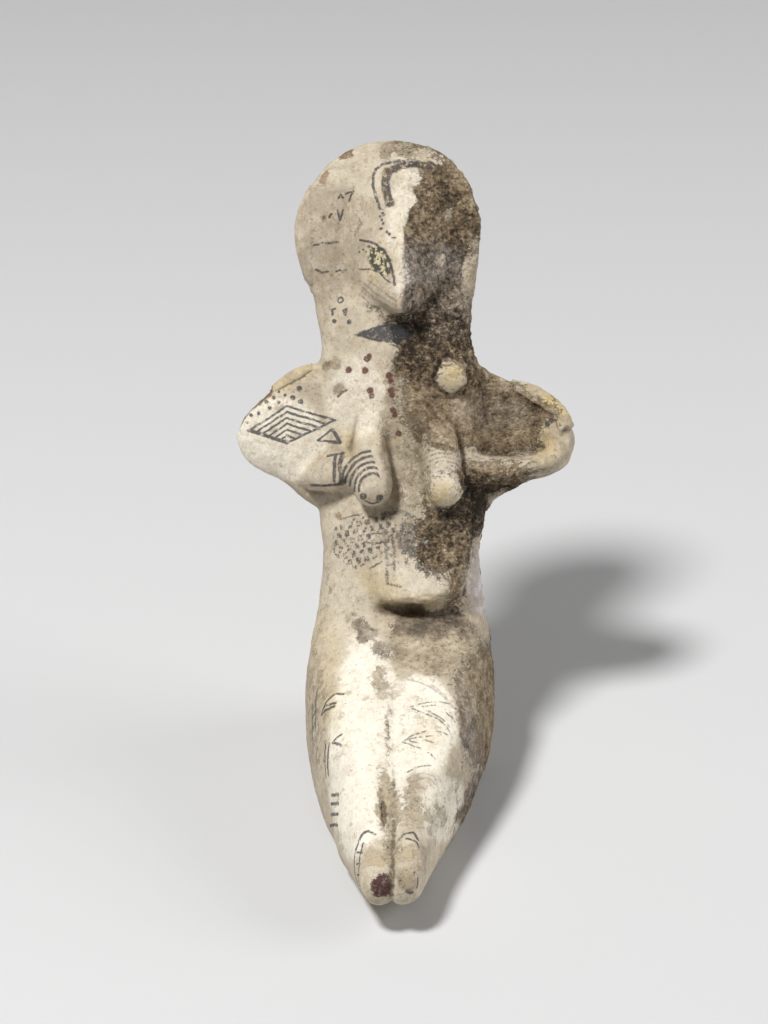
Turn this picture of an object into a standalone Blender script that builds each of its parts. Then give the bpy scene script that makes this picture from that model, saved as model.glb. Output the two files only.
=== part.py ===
"""Seated figurine of fired clay: one solid, leaning back on broad hips with its legs drawn out to blunt toes.

The form is built as a potter would: a lofted trunk and head with the face pinched out of it, two lofted
legs, flat wing-like arms, and rolls and slabs of clay pressed on for the forearm, hand, breasts and belly.
A voxel remesh fuses them, smoothing presses the joins together, and the underside is cut flat.
Metres, +Z up. The figure faces -Y, and its origin is the bottom centre of its bounding box.
"""

import math

import bmesh
import bpy
import numpy as np
from mathutils import Vector

HEIGHT = 0.200  # floor to crown
UNIT = HEIGHT / 200  # every size below is in two-hundredths of the height
LEAN = math.radians(24.5)  # the trunk's lean back from upright
RING_POINTS = 96
STEPS_BETWEEN_ROWS = 6
ROUND_END = (0.5, 0.8, 0.95)  # where the rings of a roll's round end lie, as shares of its radius
TRUNK_STEPS = 14

VOXEL = 0.9 * UNIT
SMOOTH_PASSES = 9
LAP_PASSES = 80
LAP_MIDDLE, LAP_CLEAR = 6, 16  # the lip of the belly, which stays crisp
SHOULDER_PASSES = 40
SEAT_PASSES = 50
SOLID_TRIANGLES = 8200

# The trunk's own axes: across, up along its lean, and out of its front.
ACROSS = Vector((1, 0, 0))
ALONG = Vector((0, math.sin(LEAN), math.cos(LEAN)))
OUT = Vector((0, -math.cos(LEAN), math.sin(LEAN)))

# Trunk and head: height along the lean, centre, half width, front depth, back depth, roundness.
# A roundness of 2 is an ellipse, and more is squarer.
TRUNK = (
    (14, 0, 22, 12, 17, 2.3),
    (28, 0, 29.5, 18, 24, 2.4),
    (44, 0, 31.5, 18.5, 23, 2.4),
    (58, 0.2, 29, 17.5, 19, 2.4),
    (76, 0.2, 27.0, 16, 16, 2.4),
    (88, 0.3, 28.4, 15.2, 15.5, 2.4),
    (110, 0.2, 28.5, 14.5, 15, 2.3),
    (126, 0, 29, 14, 14.5, 2.2),
    (138, -0.8, 28.2, 13.5, 13.5, 2.1),
    (149, -1.7, 26.1, 13, 12.5, 2.0),
    (160, -2.8, 27.2, 11.5, 12.5, 1.9),
    (171, -3.4, 29.8, 10, 12.5, 1.8),
    (184, -4.4, 32.2, 9.5, 11.5, 1.8),
    (194, -4.3, 31.6, 8.5, 10.5, 1.8),
    (203, -3.9, 28.2, 7.5, 9.5, 1.85),
    (210.5, -3.4, 23.3, 6, 8, 1.9),
    (216, -3.2, 16.4, 4.5, 6.5, 2),
    (219, -3.2, 9, 3, 4.5, 2),
)
CROWN = 220.3

# The hips: distance back, half width, bottom, top, roundness.
HIPS = (
    (38, 25, 0, 52, 2.3),
    (28, 30, -3, 58, 2.4),
    (12, 32, -4, 58, 2.6),
    (-2, 32, -4, 52, 2.7),
    (-12, 30.5, -4, 47, 2.7),
    (-20, 27, 0, 42, 2.6),
)
BUTTOCK = (13.5, 27, 25)  # middle of the right one
BUTTOCK_SIZE = (17.5, 19.5, 27)

# The legs: distance back, groove between them, left edge, right edge, bottom, top, inner and outer roundness.
LEGS = (
    (30, -0.5, -27, 27, 0, 50, 5, 2.5),
    (12, -1.5, -32.6, 32.4, -4, 58.0, 7, 2.5),
    (-3, -2.0, -32.8, 30.4, -4, 54.5, 9, 2.5),
    (-20, -2.0, -31.4, 28.0, -4, 49.5, 9, 2.4),
    (-41, -2.2, -27.6, 22.6, -3.5, 43, 8, 2.3),
    (-55, -2.4, -23.6, 17.8, -2, 38.5, 6, 2.2),
    (-68, -2.5, -21.2, 13.6, 0.5, 34, 5, 2.1),
    (-80, -2.8, -17.9, 10.0, 4.0, 29.5, 4, 2.1),
    (-92, -3.2, -14.8, 7.2, 8.0, 25.5, 3, 2.1),
    (-98.2, -3.4, -13.2, 5.4, 10.2, 23.0, 2.6, 2.1),
    (-101.6, -3.5, -11.2, 3.6, 12.2, 21.0, 2.3, 2.0),
)
TOE = -103.4
LEG_OVERLAP = 1.2  # how far each leg reaches past the groove between them
LAP_OVERLAP = 11  # and how much further in the lap, which has no groove
GROOVE_FROM, GROOVE_FULL = -16, -34

# Each arm, a flat wing: distance out, centre along the trunk, half height, depth, front, back, roundness.
LEFT_WING = (
    (14, 116.5, 27.5, 0, 8, 9, 2.2),
    (31, 117.8, 24.6, 0, 7.5, 9, 2.2),
    (40, 119.4, 18.7, 0.4, 6.8, 8, 2.2),
    (46, 118.2, 14.6, 0.8, 6.2, 7, 2.2),
    (51.5, 117.4, 10.6, 1, 5.4, 6, 2.1),
    (55.4, 117.0, 6.8, 1, 4, 4.5, 2),
)
LEFT_ELBOW = 57.8
RIGHT_WING = (
    (14, 116, 28, 0, 8, 9, 2.2),
    (28, 116.2, 25.2, 0, 7.5, 9, 2.2),
    (33, 116.6, 21.4, 0.3, 7.4, 8.8, 2.3),
    (38, 117.4, 18.8, 0.3, 7.4, 8.7, 2.3),
    (46, 118.0, 16.2, 0.8, 7.4, 7.5, 2.5),
    (53, 117.0, 13.0, 1, 6.6, 6.6, 2.3),
    (58, 115.6, 8.6, 1, 4.6, 5.0, 2.1),
)
RIGHT_ELBOW = 61.2
WING_HOLLOW = 5.6  # depth of the dish in the right wing, between its shell-like rim and the forearm
HOLLOW_FROM, HOLLOW_TO = 20, 52

# What is pressed on across the trunk: distance across, bottom, top, front.
FOREARM = (
    (12, 99.5, 111, 15.5),
    (20, 98.8, 111.2, 15.5),
    (30, 99.6, 110.2, 14.0),
    (40, 101.4, 109.8, 12.6),
    (48, 103.6, 110.8, 11.4),
    (54, 105.6, 114.5, 9.6),
    (58.4, 109.5, 119.5, 7.2),
)
HAND = (
    (-34.2, 100.4, 103.6, 10.4),
    (-33.2, 99.2, 105.2, 13.0),
    (-29.4, 98.2, 108.2, 15.2),
    (-24, 97.9, 111.0, 16.6),
    (-18, 97.8, 112.0, 17.4),
    (-12, 98.0, 112.0, 17.0),
)
# The belly's slab: height along the lean, left edge, right edge, front.
BELLY = (
    (104, -21, 20, 12),
    (94, -23, 23, 17.0),
    (84, -23, 24.2, 20.0),
    (74, -18.6, 24.0, 22.6),
    (67, -14.6, 22.4, 24.6),
    (62.6, -11.8, 20.2, 25.6),
    (60.7, -10.2, 18.2, 24.8),
    (59.6, -8.8, 16.4, 21),
)
BELLY_TILT = 0.10  # the slab stands prouder on the viewer's right
BELLY_MIDDLE, BELLY_SINK = 8, 6  # the middle of the slab's depth, and how far it sinks in behind that

# Each breast, a roll that stands out and ends blunt: distance across, along, out, radius.
LEFT_BREAST = (
    (-11.4, 118, 6.2, 5.2),
    (-11.1, 113, 12.2, 6.3),
    (-10.5, 106.5, 17.6, 7.2),
    (-9.8, 99.8, 20.8, 7.0),
)
RIGHT_BREAST = (
    (11.2, 123, 7.0, 5.4),
    (12.0, 116, 12.4, 6.2),
    (13.4, 107.5, 17.6, 7.1),
    (14.8, 99.6, 20.8, 6.8),
)
PELLET = ((17.8, 140.6, 10.2, 5.4), (17.8, 137.4, 11.0, 5.6))  # pressed on at the root of the neck
PELLET_SQUASH = 0.5

# Roundness of what is pressed on: 2 is an ellipse, more is squarer.
FOREARM_ROUND, HAND_ROUND = 2.4, 3.4
BELLY_ROUND = (2.2, 2.8)
LEDGE_MIDDLE, LEDGE_SINK = 3, 4

# The face, raised from the fan of the head: height along the lean, ridge's middle, rise, half width.
FACE = (
    (150, 0, 0, 4),
    (156, -0.3, 0, 5),
    (159.5, 0, 5.2, 4.5),
    (162.5, 0, 12.8, 7.5),
    (166.5, -0.1, 14.4, 12.5),
    (173, -0.3, 13.4, 17),
    (180, -0.7, 11.6, 18),
    (190, -1.4, 8.2, 16),
    (199, -2.2, 4.2, 13),
    (208, -3.0, 0.8, 10),
    (215, -3.2, 0, 8),
)
RIDGE_ROUND = 0.10  # roundness of the ridge, as a share of its half width
FLANK_CURVE = 1.3  # 1 makes the flanks flat, more makes them hollow
BEAK_DROOP = 0.30  # how far the ridge hangs down, as a share of its rise
FACE_EDGE = 18  # from the middle to the hollow on each side of the face
FACE_HOLLOW = 2.6  # and its depth in the fan of the head
BACK_DENT = 1.6  # depth of the groove down the back


def on_trunk(across, along, out):
    """A point given in the trunk's own axes."""
    return ACROSS * across + ALONG * along + OUT * out


def smooth_rows(rows, steps=STEPS_BETWEEN_ROWS):
    """The rows with others between them, on a Catmull-Rom curve through each column."""
    table = np.array(rows, float)
    ends = np.vstack([2 * table[0] - table[1], table, 2 * table[-1] - table[-2]])
    made = []
    for i in range(1, len(ends) - 2):
        before, start, end, after = ends[i - 1 : i + 3]
        for t in np.arange(steps) / steps:
            made.append(
                0.5
                * (
                    2 * start
                    + (end - before) * t
                    + (2 * before - 5 * start + 4 * end - after) * t**2
                    + (3 * start - before - 3 * end + after) * t**3
                )
            )
    return np.vstack([made, ends[-2]])


def ring(centre, right, up, sizes, powers):
    """A closed ring about centre: sizes are (left, right, up, down), powers the roundness to each side."""
    points = []
    for k in range(RING_POINTS):
        c, s = math.cos(2 * math.pi * k / RING_POINTS), math.sin(2 * math.pi * k / RING_POINTS)
        power = powers[1] if c > 0 else powers[0]
        x = math.copysign(abs(c) ** (2 / power), c) * (sizes[1] if c > 0 else sizes[0])
        y = math.copysign(abs(s) ** (2 / power), s) * (sizes[2] if s > 0 else sizes[3])
        points.append(centre + right * x + up * y)
    return points


def mesh_object(name, bm):
    """A scene object from the bmesh, which is freed."""
    mesh = bpy.data.meshes.new(name)
    bm.to_mesh(mesh)
    bm.free()
    obj = bpy.data.objects.new(name, mesh)
    bpy.context.scene.collection.objects.link(obj)
    return obj


def loft(name, rings, tip=None):
    """A closed mesh through the rings. A tip point closes its far end; the near end is a flat face."""
    bm = bmesh.new()
    rows = [[bm.verts.new(p * UNIT) for p in points] for points in rings]
    for near, far in zip(rows, rows[1:]):
        for k in range(RING_POINTS):
            after = (k + 1) % RING_POINTS
            bm.faces.new((near[k], near[after], far[after], far[k]))
    bm.faces.new(rows[0][::-1])
    if tip is None:
        bm.faces.new(rows[-1])
    else:
        point = bm.verts.new(tip * UNIT)
        for k in range(RING_POINTS):
            bm.faces.new((rows[-1][k], rows[-1][(k + 1) % RING_POINTS], point))
    bmesh.ops.recalc_face_normals(bm, faces=bm.faces)
    return mesh_object(name, bm)


def roll(name, rows, squash=1.0):
    """A roll of clay pressed along the trunk: rows are (across, along, out, radius), its ends rounded."""
    table = smooth_rows(rows)
    points = [on_trunk(*row[:3]) for row in table]
    rings = []
    last = len(points) - 1
    for i, (point, radius) in enumerate(zip(points, table[:, 3])):
        way = (points[min(i + 1, last)] - points[max(i - 1, 0)]).normalized()
        side = way.cross(OUT).normalized()
        rings.append((point, side, side.cross(way).normalized(), radius, way))
    made = [ring(p, side, up, (r, r, r * squash, r * squash), (2, 2)) for p, side, up, r, _ in rings]
    for share in ROUND_END:
        p, side, up, r, way = rings[-1]
        small = r * math.sqrt(1 - share**2)
        sizes = (small, small, small * squash, small * squash)
        made.append(ring(p + way * r * share, side, up, sizes, (2, 2)))
        p, side, up, r, way = rings[0]
        small = r * math.sqrt(1 - share**2)
        sizes = (small, small, small * squash, small * squash)
        made.insert(0, ring(p - way * r * share, side, up, sizes, (2, 2)))
    return loft(name, made)


def bump(value, middle, spread):
    """A soft bump, 1 at the middle."""
    return math.exp(-(((value - middle) / spread) ** 2))


def ramp(value, start, end):
    """0 before start, 1 after end, and a smooth rise between."""
    t = min(max((value - start) / (end - start), 0), 1)
    return t * t * (3 - 2 * t)


FACE_CURVE = smooth_rows(FACE)


def face_rise(across, along):
    """How far the pinched face stands out of the fan of the head."""
    middle, rise, half = (np.interp(along, FACE_CURVE[:, 0], FACE_CURVE[:, k]) for k in (1, 2, 3))
    away = math.hypot((across - middle) / half, RIDGE_ROUND) - RIDGE_ROUND
    return max(rise, 0) * max(1 - away, 0) ** FLANK_CURVE


def trunk():
    """The trunk, neck and flat fan of the head, in one loft up the lean, with the face pinched out of it."""
    rings = []
    for along, x, half, front, back, power in smooth_rows(TRUNK, TRUNK_STEPS):
        made = ring(on_trunk(x, along, 0), ACROSS, OUT, (half, half, front, back), (power, power))
        hollow = FACE_HOLLOW * ramp(along, 162, 172) * (1 - ramp(along, 196, 206))
        dent = BACK_DENT * ramp(along, 30, 60) * (1 - ramp(along, 120, 150))
        for point in made:
            if point.dot(OUT) > 0:
                rise = face_rise(point.x, along)
                point += OUT * (rise - hollow * bump(abs(point.x), FACE_EDGE, 5)) - ALONG * BEAK_DROOP * rise
            else:
                point += OUT * dent * bump(point.x, 0, 6)
        rings.append(made)
    return loft("trunk", rings, on_trunk(TRUNK[-1][1], CROWN, -0.5))


def hips():
    up = Vector((0, 0, 1))
    rings = []
    for y, half, low, high, p in smooth_rows(HIPS):
        tall = (high - low) / 2
        rings.append(ring(Vector((0, y, (low + high) / 2)), ACROSS, up, (half, half, tall, tall), (p, p)))
    return loft("hips", rings)


def buttock(side):
    bm = bmesh.new()
    bmesh.ops.create_uvsphere(bm, u_segments=RING_POINTS, v_segments=RING_POINTS // 2, radius=UNIT)
    bmesh.ops.scale(bm, verts=bm.verts, vec=BUTTOCK_SIZE)
    bmesh.ops.translate(bm, verts=bm.verts, vec=Vector((side * BUTTOCK[0], *BUTTOCK[1:])) * UNIT)
    return mesh_object(f"buttock_{side}", bm)


def leg(side):
    """One leg from the hip to the toe. side is -1 for the viewer's left and 1 for the right."""
    up = Vector((0, 0, 1))
    rings = []
    for y, groove, left, right, low, high, inside, outside in smooth_rows(LEGS):
        edge = left if side < 0 else right
        half = abs(edge - groove) / 2
        inner = half + LEG_OVERLAP + LAP_OVERLAP * ramp(y, GROOVE_FULL, GROOVE_FROM)
        tall = (high - low) / 2
        sizes = (half, inner, tall, tall) if side < 0 else (inner, half, tall, tall)
        powers = (outside, inside) if side < 0 else (inside, outside)
        rings.append(ring(Vector(((groove + edge) / 2, y, (low + high) / 2)), ACROSS, up, sizes, powers))
    y, groove, left, right, low, high = LEGS[-1][:6]
    tip = Vector(((groove + (left if side < 0 else right)) / 2, TOE, (low + high) / 2))
    return loft(f"leg_{side}", rings, tip)


def wing(side, rows, elbow, hollow=0.0):
    """One arm: a flat wing in the plane of the trunk, from the shoulder out to the elbow."""
    rings = []
    for out, along, half, depth, front, back, power in smooth_rows(rows):
        made = ring(on_trunk(side * out, along, depth), ALONG * side, OUT, (half, half, front, back), (power, power))
        dish = hollow * ramp(out, HOLLOW_FROM, HOLLOW_FROM + 10) * (1 - ramp(out, HOLLOW_TO - 6, HOLLOW_TO + 2))
        for point in made:
            if point.dot(OUT) > depth:
                point -= OUT * dish * max(0, 1 - abs((point.dot(ALONG) - along) / half) ** 3)
        rings.append(made)
    return loft(f"wing_{side}", rings, on_trunk(side * elbow, rows[-1][1], rows[-1][3]))


def ledge(name, rows, power):
    """Clay pressed on across the trunk, with a squared front and a soft edge."""
    rings = []
    for across, low, high, front in smooth_rows(rows):
        middle, half = (low + high) / 2, (high - low) / 2
        sizes = (half, half, front - LEDGE_MIDDLE, LEDGE_SINK)
        rings.append(ring(on_trunk(across, middle, LEDGE_MIDDLE), ALONG, OUT, sizes, (power, power)))
    return loft(name, rings)


def belly():
    """The belly's fold, a slab that thickens downward and ends in an overhanging lip above the lap."""
    rings = []
    for along, left, right, front in smooth_rows(BELLY):
        middle, half = (left + right) / 2, (right - left) / 2
        sizes = (half, half, front - BELLY_MIDDLE, BELLY_SINK)
        made = ring(on_trunk(middle, along, BELLY_MIDDLE), ACROSS, OUT, sizes, BELLY_ROUND)
        for point in made:
            point += OUT * BELLY_TILT * (point.x - middle)
        rings.append(made)
    return loft("belly", rings)


def pieces():
    """Every roll and slab of clay that the figure is pressed together from."""
    return [
        trunk(),
        hips(),
        buttock(-1),
        buttock(1),
        leg(-1),
        leg(1),
        wing(-1, LEFT_WING, LEFT_ELBOW),
        wing(1, RIGHT_WING, RIGHT_ELBOW, WING_HOLLOW),
        ledge("forearm", FOREARM, FOREARM_ROUND),
        ledge("hand", HAND, HAND_ROUND),
        roll("breast_left", LEFT_BREAST),
        roll("breast_right", RIGHT_BREAST),
        belly(),
        roll("pellet", PELLET, PELLET_SQUASH),
    ]


def fuse(parts, name):
    """All the parts as one closed skin, its joins pressed smooth."""
    figure = parts[0]
    with bpy.context.temp_override(active_object=figure, selected_editable_objects=parts):
        bpy.ops.object.join()
    figure.name = figure.data.name = name
    remesh = figure.modifiers.new("Fuse", "REMESH")
    remesh.mode = "VOXEL"
    remesh.voxel_size = VOXEL
    smooth = figure.modifiers.new("Press", "SMOOTH")
    smooth.factor = 0.5
    smooth.iterations = SMOOTH_PASSES
    apply_modifiers(figure)
    press_more(figure, "lap", LAP_PASSES, lap_weight)
    press_more(figure, "shoulders", SHOULDER_PASSES, shoulder_weight)
    press_more(figure, "seat", SEAT_PASSES, seat_weight)
    return figure


def lap_weight(point):
    """Where the trunk runs into the lap, to each side of the belly's lip."""
    near = bump(point.y, 6, 16) * bump(point.z, 58, 14)
    return near * ramp(abs(point.x - LAP_MIDDLE), LAP_CLEAR, LAP_CLEAR + 6)


def shoulder_weight(point):
    """Where the arms spring from the trunk, in front and behind."""
    across, along, out = point.x, point.dot(ALONG), point.dot(OUT)
    return bump(abs(across), 28, 7) * bump(along, 122, 16) * ramp(abs(out), 3, 7)


def seat_weight(point):
    """Where the buttocks run into the hips."""
    return bump(point.y, 17, 9) * ramp(abs(point.x), 12, 20) * (1 - ramp(point.z, 50, 62))


def press_more(obj, name, passes, weight):
    """Presses the surface smoother where weight, a function of place in units, is near 1."""
    group = obj.vertex_groups.new(name=name)
    for vertex in obj.data.vertices:
        amount = weight(vertex.co / UNIT)
        if amount > 0.02:
            group.add([vertex.index], amount, "REPLACE")
    smooth = obj.modifiers.new(name, "SMOOTH")
    smooth.factor = 0.5
    smooth.iterations = passes
    smooth.vertex_group = name
    apply_modifiers(obj)
    obj.vertex_groups.clear()


def apply_modifiers(obj):
    """Replaces the object's mesh by what its modifiers make of it."""
    graph = bpy.context.evaluated_depsgraph_get()
    mesh = bpy.data.meshes.new_from_object(obj.evaluated_get(graph))
    obj.modifiers.clear()
    obj.data = mesh


def thin_out(obj, triangles):
    """Fewer triangles where the surface is plain."""
    reduce = obj.modifiers.new("Thin out", "DECIMATE")
    reduce.use_collapse_triangulate = True
    reduce.ratio = triangles / sum(len(p.vertices) - 2 for p in obj.data.polygons)
    apply_modifiers(obj)


def cut_underside(obj):
    """The underside is sliced flat at the floor, so that the figure sits."""
    bm = bmesh.new()
    bm.from_mesh(obj.data)
    cut = bmesh.ops.bisect_plane(
        bm, geom=bm.verts[:] + bm.edges[:] + bm.faces[:], plane_co=(0, 0, 0), plane_no=(0, 0, -1), clear_outer=True
    )
    rim = [e for e in cut["geom_cut"] if isinstance(e, bmesh.types.BMEdge)]
    bmesh.ops.edgeloop_fill(bm, edges=rim)
    bmesh.ops.triangulate(bm, faces=bm.faces)
    bmesh.ops.recalc_face_normals(bm, faces=bm.faces)
    bm.to_mesh(obj.data)
    bm.free()


def centre_on_floor(obj):
    """The origin at the middle of the bounding box, on the floor."""
    points = np.array([v.co for v in obj.data.vertices])
    low, high = points.min(0), points.max(0)
    shift = Vector(((low[0] + high[0]) / -2, (low[1] + high[1]) / -2, -low[2]))
    for vertex in obj.data.vertices:
        vertex.co += shift
    print("shift", tuple(round(v * 1000, 2) for v in shift), "size", np.round((high - low) * 1000, 1))


def clay():
    material = bpy.data.materials.new("slipped_clay")
    material.use_nodes = True
    shader = material.node_tree.nodes["Principled BSDF"]
    shader.inputs["Base Color"].default_value = (0.66, 0.58, 0.46, 1)
    shader.inputs["Roughness"].default_value = 0.85
    return material


def main():
    for obj in list(bpy.data.objects):
        bpy.data.objects.remove(obj)
    figure = fuse(pieces(), "figurine")
    thin_out(figure, SOLID_TRIANGLES)
    cut_underside(figure)
    centre_on_floor(figure)
    figure.data.shade_smooth()
    figure.data.materials.append(clay())


main()
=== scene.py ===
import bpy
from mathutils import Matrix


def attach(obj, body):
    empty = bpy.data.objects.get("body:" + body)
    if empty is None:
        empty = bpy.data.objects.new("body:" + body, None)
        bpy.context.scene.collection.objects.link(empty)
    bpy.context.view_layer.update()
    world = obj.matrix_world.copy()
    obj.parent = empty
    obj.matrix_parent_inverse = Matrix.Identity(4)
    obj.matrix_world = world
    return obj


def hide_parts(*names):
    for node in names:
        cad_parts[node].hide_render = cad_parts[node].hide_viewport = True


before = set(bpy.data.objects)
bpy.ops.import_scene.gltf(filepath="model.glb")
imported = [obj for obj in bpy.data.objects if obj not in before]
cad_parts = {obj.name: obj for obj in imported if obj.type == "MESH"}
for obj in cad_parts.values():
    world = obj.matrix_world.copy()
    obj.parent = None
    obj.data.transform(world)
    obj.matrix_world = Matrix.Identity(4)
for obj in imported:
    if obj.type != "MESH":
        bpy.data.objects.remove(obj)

"""Looks of the seated clay figurine: fine relief, slip, worn painting, burial crust, and a plain studio.

The form is a copy of the CAD solid in small even faces, which numpy carves and builds up. Sizes are in
millimetres in the figure's own frame: the foot of the trunk's axis on the floor is the origin, and the figure
faces -Y. Places on the front are given as across, to the viewer's right, and along, up the leaning trunk.
"""
import math
from functools import partial, reduce

import bmesh
import bpy
import numpy as np
from mathutils import Vector

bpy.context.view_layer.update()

HEIGHT = 0.200  # floor to crown
UNIT = HEIGHT / 200  # a millimetre at that height
LEAN = math.radians(24.5)  # the trunk's lean back from upright
# The trunk's own axes: up along its lean, and out of its front.
ALONG = Vector((0, math.sin(LEAN), math.cos(LEAN)))
OUT = Vector((0, -math.cos(LEAN), math.sin(LEAN)))
TRUNK_FOOT = np.array((-1.5, 3.7, 0))  # where the trunk's axis meets the floor, in the row's frame
VOXEL = 0.62 * UNIT
FACET_PASSES = 14  # of smoothing, which takes the CAD solid's facets away
EASE_PASSES = 90  # over the places in EASED
VISUAL_TRIANGLES = 192000


def scene_object(name, data):
    """An object in the scene that shows a mesh, light or camera."""
    obj = bpy.data.objects.new(name, data)
    bpy.context.scene.collection.objects.link(obj)
    return obj


def mesh_object(name, bm):
    """An object made from the bmesh, which is freed."""
    mesh = bpy.data.meshes.new(name)
    bm.to_mesh(mesh)
    bm.free()
    return scene_object(name, mesh)


def fine_copy(solid, name):
    """A copy of the CAD solid in small even faces, with its facets smoothed away."""
    bm = bmesh.new()
    bm.from_mesh(solid.data)
    bmesh.ops.remove_doubles(bm, verts=bm.verts, dist=1e-6)
    figure = mesh_object(name, bm)
    remesh = figure.modifiers.new("Fine", "REMESH")
    remesh.mode = "VOXEL"
    remesh.voxel_size = VOXEL
    smooth = figure.modifiers.new("Smooth", "SMOOTH")
    smooth.factor = 0.5
    smooth.iterations = FACET_PASSES
    apply_modifiers(figure)
    return figure


def apply_modifiers(obj):
    """Replaces the object's mesh by what its modifiers make of it."""
    graph = bpy.context.evaluated_depsgraph_get()
    mesh = bpy.data.meshes.new_from_object(obj.evaluated_get(graph))
    obj.modifiers.clear()
    obj.data = mesh


# ---- noise ----

# The directions to the middles of a cube's edges.
GRADIENTS = np.array([corner for corner in np.ndindex(3, 3, 3) if corner.count(1) == 1], float) - 1


def scramble(ix, iy, iz, seed):
    """A fixed pseudo-random whole number for each lattice point."""
    mask = np.uint64(0xFFFFFFFF)
    h = seed * 2654435761
    for cell, factor in ((ix, 73856093), (iy, 19349663), (iz, 83492791)):
        h = cell.astype(np.int64) * factor ^ h
    h = h.astype(np.uint64) & mask
    for shift, factor in ((15, 2246822519), (13, 3266489917), (16, 668265263)):
        h = ((h ^ (h >> np.uint64(shift))) * np.uint64(factor)) & mask
    return h ^ (h >> np.uint64(14))


def one_cloud(points, seed):
    """Gradient noise, about -1 to 1, with features one unit across."""
    cell = np.floor(points)
    part = points - cell
    fade = part**3 * (part * (part * 6 - 15) + 10)
    total = np.zeros(len(points))
    for corner in np.ndindex(2, 2, 2):
        at = cell + corner
        way = GRADIENTS[(scramble(*at.T, seed) % np.uint64(len(GRADIENTS))).astype(int)]
        weight = np.prod(np.where(corner, fade, 1 - fade), axis=1)
        total += weight * np.einsum("ij,ij->i", way, part - corner)
    return total


def clouds(points, size, seed, octaves=4, rough=0.5):
    """Layered noise about -1 to 1, its largest features size across."""
    total, level, spread = np.zeros(len(points)), 1.0, 0.0
    for octave in range(octaves):
        total += level * one_cloud(points * (2.0**octave / size) + 17.3 * octave, seed + octave)
        spread += level
        level *= rough
    return total / spread * 1.7


def cells(points, size, seed):
    """Distance, in sizes, to the nearest of points scattered a size apart, and its own number, 0 to 1."""
    q = points / size
    base = np.floor(q)
    best, mark = np.full(len(q), 9.0), np.zeros(len(q))
    for corner in np.ndindex(3, 3, 3):
        at = base + corner - 1
        h = scramble(*at.T, seed)
        spot = at + np.stack([(h >> np.uint64(s)) % np.uint64(1024) for s in (0, 10, 20)], axis=1) / 1024.0
        away = np.linalg.norm(q - spot, axis=1)
        nearer = away < best
        best = np.where(nearer, away, best)
        mark = np.where(nearer, (h >> np.uint64(5)) % np.uint64(4096) / 4096.0, mark)
    return best, mark


# A turn askew, which keeps broad noise from lining up with its own lattice.
TURNED = np.array(((0.36, 0.48, -0.8), (-0.8, 0.6, 0.0), (0.48, 0.64, 0.6)))


def step(value, start, end):
    """0 before start, 1 after end, smooth between; arrays."""
    t = np.clip((value - start) / (end - start), 0, 1)
    return t * t * (3 - 2 * t)


def hump(value, middle, spread):
    """1 at the middle, and falling away smoothly on both sides."""
    return np.exp(-(((value - middle) / spread) ** 2))


def between(value, rise, fall):
    """1 between two soft ends, and 0 beyond them."""
    return step(value, *rise) * (1 - step(value, *fall))


def within(value, start, end):
    """True between two sharp ends."""
    return (value > start) & (value < end)


# ---- where things are on the figure ----


class Places:
    """Coordinates of every point of the surface."""

    def __init__(self, points, normals):
        self.points, self.normals = points, normals
        self.x, self.y, self.z = points.T
        self.along, self.out = points @ np.array(ALONG), points @ np.array(OUT)
        self.facing = normals @ np.array(OUT)
        self.front = step(self.out, -3, 1)
        self.wavy_x = self.x + 1.6 * clouds(points, 7, 101, 3)
        self.wavy_along = self.along + 1.6 * clouds(points, 7, 111, 3)
        # The tone, which holds painted shade under the right forearm and the belly's lip.
        self.tone = regions(self, 0.5, TONE_AND_SHADE, 0.45)

    def above_line(self, line):
        """Height above a line of (across, along) points from left to right, measured square to its run."""
        across, along = np.array(line, float).T
        slope = np.gradient(along, across)
        level, tilt = np.interp(self.x, across, along), np.interp(self.x, across, slope)
        return (self.along - level) / np.hypot(1, tilt)

    def oval(self, across, along, half_across, half_along, turn=0.0, wavy=True):
        """Depth inside an oval on the front, in millimetres, less than 0 outside."""
        x, a = (self.wavy_x, self.wavy_along) if wavy else (self.x, self.along)
        c, s = math.cos(math.radians(turn)), math.sin(math.radians(turn))
        u, v = (x - across) * c + (a - along) * s, (a - along) * c - (x - across) * s
        return (1 - np.hypot(u / half_across, v / half_along)) * min(half_across, half_along)

    def near_line(self, line):
        """Distance from a line of (across, along) points, and how far along the line that is, 0 to 1."""
        q = np.stack([self.x, self.along], axis=1)
        nearest, how_far = np.full(len(q), 99.0), np.zeros(len(q))
        corners = np.array(line, float)
        for i, (p, r) in enumerate(zip(corners, corners[1:])):
            e = r - p
            t = np.clip((q - p) @ e / (e @ e), 0, 1)
            away = np.linalg.norm(q - p - t[:, None] * e, axis=1)
            closer = away < nearest
            nearest = np.where(closer, away, nearest)
            how_far = np.where(closer, (i + t) / (len(corners) - 1), how_far)
        return nearest, how_far


# Burial crust on the front, as ovals: middle across and along, half widths, and a turn if it has one.
CRUST = (
    (17.5, 186, 16.2, 27), (13, 156, 16, 17), (17, 211, 16, 6.5, -24), (14.5, 143, 15.5, 13),
    (18, 127, 18, 14), (36, 123.5, 17, 12), (33, 134, 7.5, 4.5, -28), (31, 103, 14, 5.6, 4),
    (20, 93, 11, 13), (20.5, 74, 3.6, 14, -8), (29, 36, 5.5, 9, 4), (27, 24, 7.6, 19, 6),
    (25, -4, 3.8, 12, -24), (18.4, -20, 2, 9, -28), (13.8, 81, 8, 10),
)
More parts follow.
